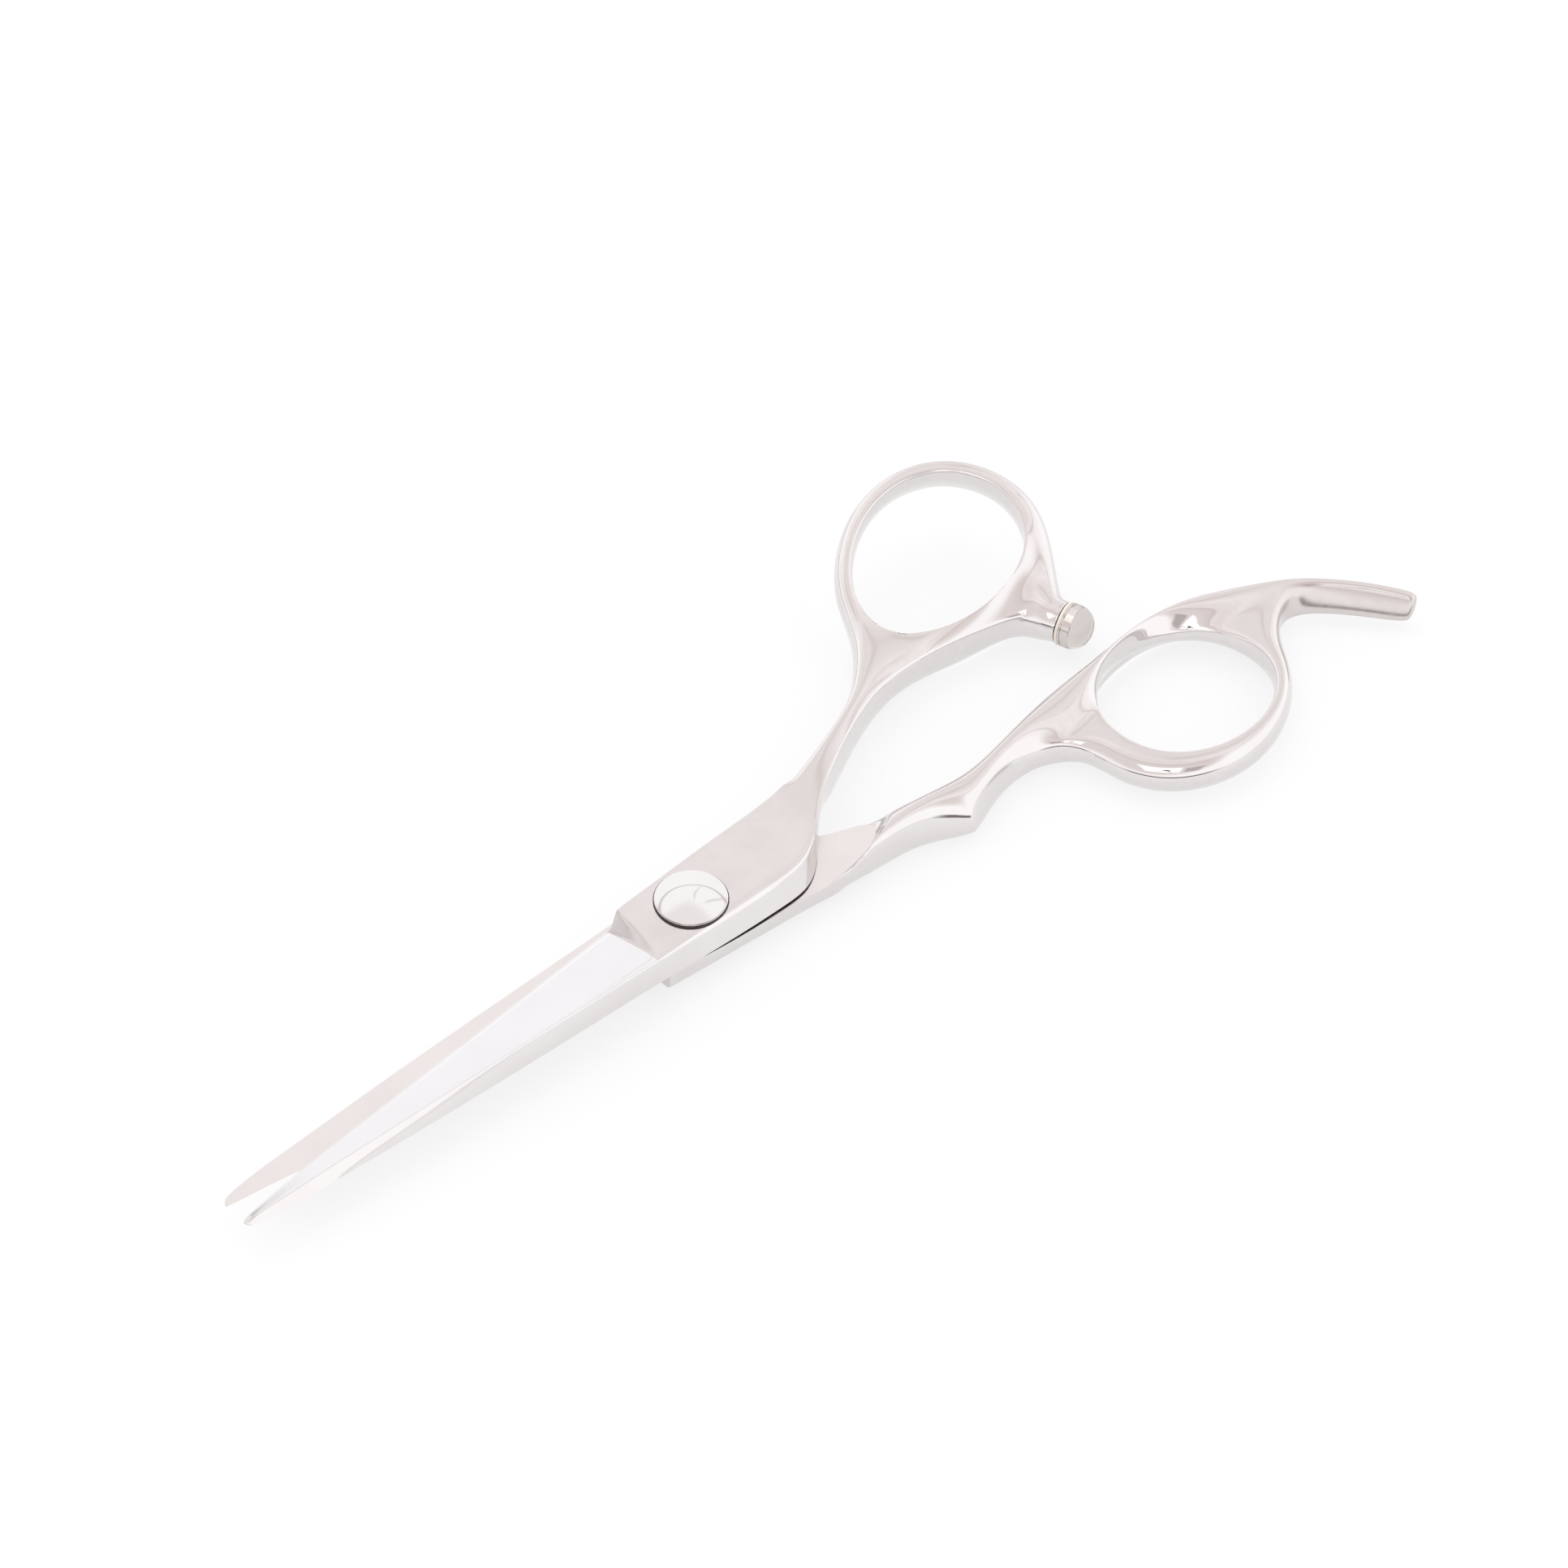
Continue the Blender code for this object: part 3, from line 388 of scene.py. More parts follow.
def thumb_half_cage():
    cage = Cage()
    sections = [lifted(s) for s in blade_and_block(THUMB_TIP_FULLNESS)]
    block_end = len(sections) - 1
    lap = LAP_HEIGHT + LAP_GAP / 2
    # end of the block: the spine side turns in towards the shank
    sections += [
        box_section((13.4, 5.4, 7.08), (12.7, -4.3, 7.1), (12.5, -5.8, lap), (13.4, 5.55, lap),
            right=0.05),
        box_section((16.2, 5.6, 7.0), (15.6, -3.0, 7.05), (15.5, -3.9, lap), (16.0, 5.75, lap)),
        box_section((18.6, 5.95, 6.9), (18.5, -0.8, 6.95), (18.7, -0.75, lap + 0.12),
            (18.0, 5.95, lap + 0.09)),
    ]
    lap_end = len(sections) - 1
    # the shank, from here on below the lap plane too
    sections += [
        box_section((20.9, 6.5, 6.8), (21.3, 1.7, 6.75), (21.7, 2.5, 3.3), (20.9, 6.45, 2.6),
            0.05, 1.9, 0.15, 0.1),
        box_section((23.4, 7.25, 6.7), (24.6, 4.0, 6.5), (24.7, 3.9, 1.5), (23.5, 7.3, 1.8),
            0.1, 0.8, 0.2, 0.15),
        box_section((27.2, 8.5, 6.6), (28.5, 6.2, 6.25), (28.7, 6.2, 1.1), (27.4, 8.5, 1.3),
            0.15, 0.3, 0.25, 0.15),
        box_section((32.0, 10.3, 6.4), (33.3, 8.6, 5.9), (33.4, 8.7, 0.8), (32.2, 10.3, 1.0),
            0.2, 0.1, 0.35, 0.15),
    ]
    junction = len(sections)
    sections += [
        box_section((36.2, 12.3, 6.2), (37.6, 10.3, 5.6), (37.7, 10.5, 0.7), (36.5, 12.3, 1.1),
            0.25, 0.0, 0.3, 0.15),
        box_section((41.2, 15.4, 6.3), (41.5, 11.1, 5.3), (41.5, 11.4, 0.7), (41.2, 15.4, 1.6),
            0.25, 0.0, 0.0, 0.15),
    ]
    corners = (
        (204, (45.3, 11.35, 5.05), 0.65, 0.0), (237, (49.7, 11.0, 4.95), 0.65, 0.0),
        (270, (54.1, 9.95, 5.05), 0.8, 0.05), (300, (58.1, 8.95, 5.2), 1.0, 0.3),
    )
    for angle, outer, foot, keel in corners:
        rim = rim_point(THUMB_LOOP, angle, 1.035)
        inner_foot = rim + rim_outward(THUMB_LOOP, angle) * 0.5 - Vector((0, 0, THUMB_LOOP["wall"]))
        outer_foot = (outer[0], outer[1] + 0.35, foot)
        sections.append(box_section(rim, outer, outer_foot, inner_foot, 0.1, keel, 0.6, 0.25))
    sections.append(box_section(
        (65.4, 11.2, 7.4), (59.9, 7.9, 5.45), (59.9, 8.0, 1.3), (65.4, 10.9, 3.4), 0.5, 1.0, 0.0, 0.2))
    sections += boss_sections()
    boss = len(sections) - 5
    rings = cage.path(sections, ((junction, "left"), (boss, "left")), finish_zones(lap_end, False))
    loop = loop_arc(THUMB_LOOP, 178.0, -26.6, (2.4, 2.1, 2.05, 2.1, 2.2, 2.3, 2.4, 2.6, 3.1))
    start = patch(rings, junction, "left", outer_first=True)
    end = patch(rings, boss, "left", outer_first=False)
    cage.arc(start, end, loop, EDGE_CREASE, 0.4)

    crease_blade(cage, rings, cutting=0, spine=2, ridge=4, lip=6, roof=5)
    for edge in (0, 2):
        cage.crease_line(rings, edge, block_end, lap_end, 1.0)
    cage.crease_line(rings, 4, block_end, len(rings) - 4, EDGE_CREASE)
    cage.crease_line(rings, 6, block_end, lap_end + 1, 0.5)
    cage.crease_line(rings, 6, junction + 2, boss, EDGE_CREASE)
    cage.crease_line(rings, 0, junction + 2, boss, 0.45)
    cage.crease_across(rings, lap_end, (0, 1, 2), 1.0)
    cage.crease_across(rings, len(rings) - 1, (0, 1, 2, 3, 4, 5, 6, 7, 0), 0.9)
    drop_loose(cage)
    return cage.bm


def finger_half_cage():
    cage = Cage()
    sections = [lifted(turned_over(s)) for s in blade_and_block()]
    block_end = len(sections) - 1
    lap = LAP_HEIGHT - LAP_GAP / 2
    low = lap - THICKNESS
    # the near edge of the lap face stands out under the other half, and falls away a little
    for station, out, drop in ((-3, 0.42, 0.06), (-2, 0.42, 0.15), (-1, 0.24, 0.22)):
        sections[station][4] -= Vector((0, out, drop))

    def lap_section(top_left, top, top_right, bottom_right, bottom, bottom_left):
        """Section whose top edge is a skewed line on the lap face."""
        points = box_section(top_left, top_right, bottom_right, bottom_left)
        points[5] = Vector(top)
        points[1] = Vector(bottom)
        return points

    sections += [
        lap_section((12.6, 5.5, lap), (11.8, 0.2, lap), (11.2, -5.6, lap - 0.25),
                    (12.4, -5.5, low), (12.6, 0.0, low), (12.8, 4.3, low)),
        lap_section((15.4, 2.6, lap), (15.0, -1.8, lap), (12.9, -5.85, lap - 0.32),
                    (15.4, -5.7, low - 0.1), (15.5, -1.0, low - 0.1), (15.8, 2.2, low - 0.1)),
        lap_section((18.7, -0.2, lap), (18.6, -3.2, lap), (14.2, -6.0, lap - 0.3),
                    (18.4, -5.9, 1.1), (18.8, -2.6, 0.9), (19.4, -0.2, 1.1)),
        lap_section((26.1, -1.85, lap), (22.8, -4.8, lap), (15.4, -6.15, lap),
                    (21.6, -6.05, 1.0), (22.4, -3.8, 0.6), (23.6, -1.6, 1.1)),
    ]
    lap_end = len(sections) - 1
    # the shank with its finger rest, standing above the lap plane
    sections += [
        lap_section((27.3, -2.2, 5.3), (24.8, -4.9, 6.1), (18.2, -6.25, 5.1),
                    (24.6, -6.1, 0.9), (25.4, -4.2, 0.2), (26.4, -2.2, 1.0)),
        box_section((30.4, -3.1, 5.6), (26.4, -5.45, 5.7), (28.2, -6.3, 0.8), (30.2, -2.5, 0.9),
            0.4, 0.1, 0.3, 0.3),
        box_section((33.6, -3.45, 5.6), (31.6, -6.0, 5.7), (31.5, -7.7, 0.6), (33.6, -2.85, 0.8),
            0.4, 0.0, 0.3, 0.4),
        box_section((36.4, -3.6, 5.6), (34.4, -7.6, 5.5), (34.5, -9.3, 0.6), (36.4, -2.9, 0.8),
            0.4, 0.0, 0.3, 0.5),
        box_section((39.2, -3.5, 5.6), (37.5, -6.9, 5.5), (37.4, -7.8, 0.9), (39.2, -2.7, 0.8),
            0.4, 0.0, 0.3, 0.1),
        box_section((43.4, -2.6, 5.6), (41.8, -5.5, 4.9), (41.6, -6.1, 1.0), (43.4, -2.0, 0.8),
            0.6, 0.1, 0.3, 0.15),
    ]
    peak = lap_end + 4
    junction = len(sections)
    sections += [
        box_section((48.2, -1.4, 5.7), (47.0, -5.2, 4.3), (46.8, -5.7, 1.1), (48.0, -0.9, 0.8),
            0.8, 0.1, 0.3, 0.2),
        box_section((53.2, -0.3, 5.7), (51.8, -7.4, 4.4), (51.6, -7.4, 1.1), (53.0, 0.0, 0.8),
            0.7, 0.1, 0.4, 0.1),
    ]
    corners = (
        (152, (58.6, 0.35, 5.65), 0.6, 0.6), (120, (64.2, 0.9, 5.55), 0.95, 1.25),
        (87, (70.2, 1.5, 5.6), 1.1, 1.5), (58, (76.0, 1.1, 5.7), 1.05, 1.3),
        (33, (80.6, -0.6, 5.8), 0.85, 0.7),
    )
    for angle, outer, crown, drop in corners:
        rim = rim_point(FINGER_LOOP, angle, 1.03 + 0.035 * drop) - Vector((0, 0, drop))
        inner_foot = rim + rim_outward(FINGER_LOOP, angle) * 0.4 - Vector((0, 0, FINGER_LOOP["wall"] - drop))
        outer_foot = (outer[0] - 0.2, outer[1] - 0.2, 0.9)
        sections.append(box_section(outer, rim, inner_foot, outer_foot, crown, 0.0, 0.3, 0.5))
    # the tang, a little above the surface
    sections += [
        box_section((84.6, -2.5, 5.6), (82.6, -5.4, 5.2), (82.0, -6.3, 1.1), (84.2, -3.0, 1.4),
            0.4, 0.7, 0.3, 0.0),
        box_section((88.4, -4.5, 5.4), (87.5, -5.45, 5.35), (86.2, -6.8, 1.5), (88.0, -4.8, 1.7),
            0.2, 1.6, 0.3, 0.2),
        box_section((92.0, -7.3, 5.2), (91.0, -8.1, 5.15), (89.6, -9.4, 1.6), (91.8, -7.6, 1.8),
            0.2, 1.7, 0.3, 0.2),
        box_section((95.6, -11.0, 5), (94.5, -11.7, 4.95), (93.0, -12.9, 1.5), (95.4, -11.3, 1.7),
            0.2, 1.6, 0.3, 0.2),
        box_section((98.6, -15.1, 4.8), (97.4, -15.65, 4.7), (95.9, -16.5, 1.5), (98.4, -15.4, 1.7),
            0.1, 1.6, 0.2, 0.1),
        box_section((98.9, -15.9, 4.4), (97.8, -16.4, 4.2), (96.7, -17.0, 2), (98.7, -16.1, 2.2),
            0.1, 2.1, 0.1, 0.1),
    ]
    tang = junction + 6
    rings = cage.path(sections, ((junction, "right"), (tang, "right")), finish_zones(lap_end, True))
    loop = loop_arc(FINGER_LOOP, 172.0, 24.0, (3.9, 3.9, 3.6, 3.1, 2.6, 2.1, 1.9, 2.3, 4.2))
    start = patch(rings, junction, "right", outer_first=True)
    end = patch(rings, tang, "right", outer_first=False)
    cage.arc(start, end, loop, EDGE_CREASE, 0.4)

    crease_blade(cage, rings, cutting=4, spine=6, ridge=0, lip=2, roof=1)
    for edge in (4, 6):
        cage.crease_line(rings, edge, block_end, lap_end, 1.0)
    for edge in (0, 2):
        cage.crease_line(rings, edge, block_end, lap_end - 1, 0.5)
    cage.crease_across(rings, lap_end, (4, 5, 6), 1.0)
    cage.crease_across(rings, lap_end + 1, (3, 4, 5, 6), 0.6)
    cage.crease_across(rings, peak, (2, 3, 4), 0.8)
    cage.crease_line(rings, 4, junction + 2, tang, EDGE_CREASE)
    cage.crease_line(rings, 2, junction + 2, tang, 0.45)
    drop_loose(cage)
    return cage.bm


# ---------------------------------------------------------------------------------------------
# Materials

# Tints the polished steel takes (linear). Painted reflection, chosen by how a face looks: level
# faces, the flattest of them and steep sides; and the brushed tang's own tint
LEVEL_PAINTED_REFLECTION = (0.665, 0.62, 0.605, 1.0)
FLAT_PAINTED_REFLECTION = (0.585, 0.54, 0.525, 1.0)
STEEP_PAINTED_REFLECTION = (0.735, 0.705, 0.695, 1.0)
TANG_TINT = (0.62, 0.575, 0.56, 1.0)
# Where along X, in metres, the tang's brushing begins and where it is full
TANG_START, TANG_FULL = 0.080, 0.087

EVEN_GRAIN = (900.0, 900.0, 900.0)
HAIR_SCALES = (2600.0, 90.0, 2600.0)
HAIR_TURN = 0.6


class Nodes:
    """A small helper to wire up a material's nodes."""

    def __init__(self, name):
        self.material = bpy.data.materials.new(name)
        self.material.use_nodes = True
        self.tree = self.material.node_tree
        self.shader = self.tree.nodes["Principled BSDF"]
        place = self.tree.nodes.new("ShaderNodeTexCoord")
        self.place = place.outputs["Object"]
        self.facing = place.outputs["Normal"]

    def node(self, kind, **inputs):
        made = self.tree.nodes.new(kind)
        for key, value in inputs.items():
            self.feed(made, key, value)
        return made

    def feed(self, node, key, value):
        """Link or set an input, by its name with _ for spaces, or by its number."""
        socket = node.inputs[key if isinstance(key, int) else key.replace("_", " ")]
        if isinstance(value, bpy.types.NodeSocket):
            self.tree.links.new(value, socket)
        else:
            socket.default_value = value

    def stretched(self, x, y, z, turn=0.0):
        made = self.node("ShaderNodeMapping", Vector=self.place, Scale=(x, y, z), Rotation=(0, 0, turn))
        return made.outputs["Vector"]

    def noise(self, where, scale, detail=3.0, rough=0.5):
        made = self.node("ShaderNodeTexNoise", Vector=where, Scale=scale, Detail=detail, Roughness=rough)
        return made.outputs["Fac"]

    def spread(self, value, low, high, to_low, to_high):
        """The value's range from low to high, stretched to the range from to_low to to_high."""
        made = self.node("ShaderNodeMapRange", Value=value, From_Min=low, From_Max=high,
                         To_Min=to_low, To_Max=to_high)
        return made.outputs["Result"]

    def math(self, operation, a, b=0.0):
        made = self.tree.nodes.new("ShaderNodeMath")
        made.operation = operation
        self.feed(made, 0, a)
        self.feed(made, 1, b)
        return made.outputs[0]

    def add(self, a, b):
        return self.math("ADD", a, b)

    def times(self, a, b):
        return self.math("MULTIPLY", a, b)

    def mix(self, factor, a, b):
        made = self.tree.nodes.new("ShaderNodeMix")
        made.data_type = "RGBA"
        for number, value in ((0, factor), (6, a), (7, b)):
            self.feed(made, number, value)
        return made.outputs[2]

    def bump(self, height, strength, distance, **below):
        """A bump on the shader's normal, or on another bump given as Normal."""
        made = self.node("ShaderNodeBump", Height=height, Strength=strength, Distance=distance, **below)
        self.feed(self.shader, "Normal", made.outputs["Normal"])
        return made.outputs["Normal"]

    def set(self, **inputs):
        for key, value in inputs.items():
            self.feed(self.shader, key, value)


def brush_and_paint_reflection(n, colour, total, fine, change):
    """Brush the faces that look up, the steep sides and the tang; change is the extra roughness. The
    faces that look up and the steep sides also take painted reflection tints, by how they face.
    The limits of up are cosines: 0.86 is a face 30 degrees off level, 0.15 one that is 81 off."""
    up = n.node("ShaderNodeSeparateXYZ", Vector=n.facing).outputs["Z"]
    level = n.spread(up, 0.86, 0.95, 0.0, 1.0)
    mottle = n.spread(n.noise(n.place, 700.0, 4.0, 0.65), 0.35, 0.65, -0.02, 0.02)
    total = n.add(total, n.times(level, n.add(mottle, change)))
    # painted reflection: faces that look up take darker rosy tints, the flattest the darkest
    colour = n.mix(n.times(level, n.spread(fine, 0.3, 0.7, 0.7, 1.0)), colour, LEVEL_PAINTED_REFLECTION)
    colour = n.mix(n.spread(up, 0.965, 0.99, 0.0, 0.8), colour, FLAT_PAINTED_REFLECTION)
    # painted reflection: steep sides take a patchy pinkish-grey tint; their rougher patches are brushing
    steep = n.spread(n.math("ABSOLUTE", up), 0.35, 0.15, 0.0, 1.0)
    patchy = n.times(steep, n.spread(n.noise(n.place, 900.0, 5.0, 0.7), 0.35, 0.7, 0.25, 1.0))
    colour = n.mix(patchy, colour, STEEP_PAINTED_REFLECTION)
    total = n.add(total, n.times(patchy, 0.10))
    along = n.node("ShaderNodeSeparateXYZ", Vector=n.place).outputs["X"]
    tang = n.spread(along, TANG_START, TANG_FULL, 0.0, 1.0)
    total = n.add(total, n.times(tang, n.spread(fine, 0.3, 0.7, 0.10, 0.18)))
    colour = n.mix(n.times(tang, 0.7), colour, TANG_TINT)
    return colour, total


def steel(name, tint, dull, rough, grain, depth, strength, vary, turn=0.0, flat_rough=0.0):
    """Polished or ground steel: cloudy polish, a fine grain with a direction, and stray hair scratches.
    With flat_rough, faces that look straight up are brushed to that roughness instead, and faces that
    look up and steep sides take painted reflection tints."""
    n = Nodes(name)
    clouds = n.noise(n.place, 180.0, 4.0, 0.6)
    fine = n.noise(n.stretched(*grain, turn=turn), 1.0, 4.0, 0.7)
    hair = n.noise(n.stretched(*HAIR_SCALES, turn=HAIR_TURN), 1.0, 2.0, 0.5)
    scratch = n.spread(hair, 0.70, 0.74, 0.0, 1.0)
    colour = n.mix(n.spread(clouds, 0.35, 0.65, 0.0, 1.0), (*tint, 1.0), (*dull, 1.0))
    base_rough = n.spread(clouds, 0.3, 0.7, max(0.01, rough - vary), rough + vary)
    grain_rough = n.times(n.math("SUBTRACT", fine, 0.5), vary * 2.0)
    total = n.add(n.add(base_rough, grain_rough), n.times(scratch, 0.05))
    if flat_rough:
        # brushed roughness, with painted reflection tints by facing direction
        colour, total = brush_and_paint_reflection(n, colour, total, fine, flat_rough - rough)
    n.set(Base_Color=colour, Metallic=1.0, Roughness=total)
    # a slow waviness from polishing by hand lies under the grain
    waves = n.bump(n.noise(n.place, 90.0, 1.0, 0.4), 1.0, 0.00006)
    n.bump(n.math("SUBTRACT", fine, n.times(scratch, 0.3)), strength, depth, Normal=waves)
    return n.material


def polymer(name, tint, dull, rough):
    """Moulded plastic: slightly cloudy colour and a fine pebble."""
    n = Nodes(name)
    clouds = n.noise(n.place, 420.0, 3.0, 0.5)
    pebble = n.noise(n.place, 3600.0, 3.0, 0.6)
    n.set(Base_Color=n.mix(clouds, (*tint, 1.0), (*dull, 1.0)),
          Roughness=n.spread(clouds, 0.3, 0.7, rough - 0.05, rough + 0.06))
    n.bump(pebble, 0.15, 0.00002)
    return n.material


def clear(name, tint, rough):
    """Clear moulded plastic with a faint smoky tint and a few flow marks."""
    n = Nodes(name)
    flow = n.noise(n.stretched(300.0, 300.0, 900.0), 1.0, 2.0, 0.5)
    n.set(Base_Color=n.mix(flow, (*tint, 1.0), (*(c * 0.97 for c in tint), 1.0)),
          Roughness=n.spread(flow, 0.3, 0.7, rough, rough + 0.04))
    n.set(Transmission_Weight=0.90, IOR=1.42)
    n.bump(flow, 0.05, 0.00002)
    return n.material


# polished steel, whose upward faces and steep sides carry painted reflection tints
MIRROR = steel("polished_steel", (0.775, 0.755, 0.75), (0.755, 0.73, 0.725), rough=0.045,
               grain=EVEN_GRAIN, depth=0.000004, strength=0.10, vary=0.015, flat_rough=0.13)
DOME = steel("polished_dome", (0.735, 0.72, 0.715), (0.72, 0.70, 0.695), rough=0.045,
             grain=EVEN_GRAIN, depth=0.000004, strength=0.06, vary=0.012)
HOLLOW = steel("hollow_ground_steel", (0.73, 0.722, 0.73), (0.715, 0.707, 0.715), rough=0.14,
               grain=(160.0, 3200.0, 800.0), depth=0.000006, strength=0.12, vary=0.02)
SATIN = steel("satin_steel_flat", (0.645, 0.605, 0.592), (0.615, 0.575, 0.562), rough=0.24,
              grain=(3400.0, 260.0, 900.0), depth=0.000008, strength=0.2, vary=0.03, turn=0.1)
GROUND = steel("ground_steel_flat", (0.69, 0.65, 0.635), (0.67, 0.63, 0.615), rough=0.22,
               grain=(200.0, 3000.0, 900.0), depth=0.000006, strength=0.15, vary=0.03)
BEVEL = steel("honed_edge", (0.82, 0.81, 0.81), (0.80, 0.79, 0.79), rough=0.22,
              grain=EVEN_GRAIN, depth=0.000003, strength=0.08, vary=0.02)
SMALL = steel("turned_steel", (0.74, 0.73, 0.72), (0.68, 0.67, 0.66), rough=0.16,
              grain=(1500.0, 1500.0, 300.0), depth=0.000006, strength=0.15, vary=0.04)
# black polymer of the washer; also painted shade inside the bumper seat's groove
BLACK_AND_GROOVE_SHADE = polymer("black_washer_and_groove_shade_polymer", (0.030, 0.018, 0.018), (0.045, 0.028, 0.027), 0.42)
BROWN = polymer("bearing_polymer", (0.30, 0.20, 0.12), (0.24, 0.16, 0.10), 0.5)
CREAM = polymer("cream_seat_polymer", (0.88, 0.80, 0.72), (0.84, 0.75, 0.66), 0.35)
CLEAR = clear("clear_polymer", (0.94, 0.905, 0.875), 0.09)


# ---------------------------------------------------------------------------------------------
# Pieces

THUMB_TURN = Matrix.Rotation(math.radians(REST_OPENING / 2), 4, "Z")
FINGER_TURN = Matrix.Rotation(math.radians(-REST_OPENING / 2), 4, "Z")

MERGE = 0.00005                # in millimetres, closes a turned profile on itself
BUSH_BORE_RADIUS = 2.6
STUD_BORE_RADIUS = 0.95
KEY_GAP = 0.05
DOME_POWER = 1.6               # shape of the screw head's dome; 2 would make it a parabola
HEAD_CHAMFER = 0.04


def placed(name, bm, turn):
    """An object from a bmesh in millimetres, turned about the pivot and brought to metres."""
    bmesh.ops.recalc_face_normals(bm, faces=bm.faces)
    bm.transform(Matrix.Scale(MM, 4) @ turn)
    mesh = bpy.data.meshes.new(name)
    bm.to_mesh(mesh)
    bm.free()
    mesh.shade_smooth()
    made = bpy.data.objects.new(name, mesh)
    bpy.context.scene.collection.objects.link(made)
    return made


def settle(obj, sharp=35.0):
    """Apply the modifiers, and keep edges above an angle crisp in the shading."""
    graph = bpy.context.evaluated_depsgraph_get()
    final = bpy.data.meshes.new_from_object(obj.evaluated_get(graph))
    obj.modifiers.clear()
    obj.data = final
    final.set_sharp_from_angle(angle=math.radians(sharp))


def turned_bm(profile, segments, closed=True):
    """A profile of (radius, height) turned about Z, as a bmesh. It runs down its outer side."""
    bm = bmesh.new()
    verts = [bm.verts.new((r, 0, z)) for r, z in profile]
    edges = [bm.edges.new((a, b)) for a, b in zip(verts, verts[1:])]
    if closed:
        edges.append(bm.edges.new((verts[-1], verts[0])))
    bmesh.ops.spin(bm, geom=verts + edges, cent=(0, 0, 0), axis=(0, 0, 1), angle=2 * math.pi,
                   steps=segments)
    bmesh.ops.remove_doubles(bm, verts=bm.verts, dist=MERGE)
    return bm


def round_tool(name, radius, low, high, turn, segments=96):
    """A round bar to cut with, from the height low to high."""
    profile = [(0, high), (radius, high), (radius, low), (0, low)]
    return placed(name, turned_bm(profile, segments, False), turn)


def carve(obj, cutters):
    for cutter in cutters:
        cut = obj.modifiers.new(cutter.name, "BOOLEAN")
        cut.operation = "DIFFERENCE"
        cut.solver = "EXACT"
        cut.object = cutter
    settle(obj)
    for cutter in cutters:
        bpy.data.objects.remove(cutter, do_unlink=True)


def key_hole():
    """The cutter of the keyed hole: a round bar with two flats."""
    bm = bmesh.new()
    radius = SHAFT_RADIUS + RUNNING_GAP
    bmesh.ops.create_cone(bm, cap_ends=True, segments=96, radius1=radius, radius2=radius, depth=KEY_TOP)
    bmesh.ops.translate(bm, vec=(0, 0, KEY_TOP / 2), verts=bm.verts)
    flat = KEY_HALF_WIDTH + KEY_GAP
    for v in bm.verts:
        v.co.x = max(-flat, min(flat, v.co.x))
    return placed("key_hole_tool", bm, FINGER_TURN)


def bumper_turn():
    """From a bumper's own frame, axis up, to its place in the thumb half at rest."""
    lay = Matrix.Rotation(math.radians(BUMPER_ANGLE), 4, "Z") @ Matrix.Rotation(math.pi / 2, 4, "Y")
    return THUMB_TURN @ Matrix.Translation(BOSS_CENTRE) @ lay


def half(name, cage, turn, cutters, node, body):
    made = placed(name, cage, turn)
    for finish in (MIRROR, HOLLOW, SATIN, GROUND, BEVEL):
        made.data.materials.append(finish)
    surface = made.modifiers.new("surface", "SUBSURF")
    surface.levels = SUBDIVISIONS
    surface.render_levels = SUBDIVISIONS
    carve(made, cutters)
    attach(made, body)
    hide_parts(node)


def build_halves():
    """Cut the fine halves as the CAD model's are. Each bar reaches past the faces that it opens."""
    upper_floor = LAP_HEIGHT + LAP_GAP / 2 + RACE_RECESS_DEPTH
    lower_floor = LAP_HEIGHT - LAP_GAP / 2 - RACE_RECESS_DEPTH
    stud_bore = round_tool("stud_bore_tool", STUD_BORE_RADIUS, -2.9, 2.0, bumper_turn(), 48)
    half("thumb_half_fine", thumb_half_cage(), THUMB_TURN, [
        round_tool("bush_bore_tool", BUSH_BORE_RADIUS, 3.0, 9.0, THUMB_TURN),
        round_tool("upper_race_tool", RACE_RECESS_RADIUS, 3.0, upper_floor, THUMB_TURN),
        stud_bore,
    ], "thumb_half", "thumb_body")
    half("finger_half_fine", finger_half_cage(), FINGER_TURN, [
        key_hole(),
        round_tool("lower_race_tool", RACE_RECESS_RADIUS, lower_floor, 6.0, FINGER_TURN),
        round_tool("spring_recess_tool", SPRING_RECESS_RADIUS, 0.0, SPRING_RECESS_TOP, FINGER_TURN),
    ], "finger_half", "finger_body")


def turned_piece(name, profile, turn, finish, node, body, segments=96, closed=True):
    made = placed(name, turned_bm(profile, segments, closed), turn)
    made.data.materials.append(finish)
    settle(made, 30.0)
    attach(made, body)
    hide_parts(node)
    return made


def build_pivot():
    rim_top = HEAD_BASE + HEAD_RIM
    shoulder = NUT_THICKNESS + THREAD_SHOULDER
    steps = 20
    dome = []
    for i in range(steps + 1):
        f = i / steps
        dome.append((HEAD_RADIUS * f, rim_top + HEAD_DOME * (1 - f ** DOME_POWER)))
    shaft = [
        (HEAD_RADIUS, HEAD_BASE + HEAD_CHAMFER), (HEAD_RADIUS - HEAD_CHAMFER, HEAD_BASE),
        (SHAFT_RADIUS, HEAD_BASE), (SHAFT_RADIUS, shoulder), (THREAD_RADIUS, shoulder),
        (THREAD_RADIUS, 0.0), (0.0, 0.0),
    ]
    turned_piece("pivot_screw_fine", dome + shaft, FINGER_TURN, DOME, "pivot_screw", "finger_body",
                 128, False)


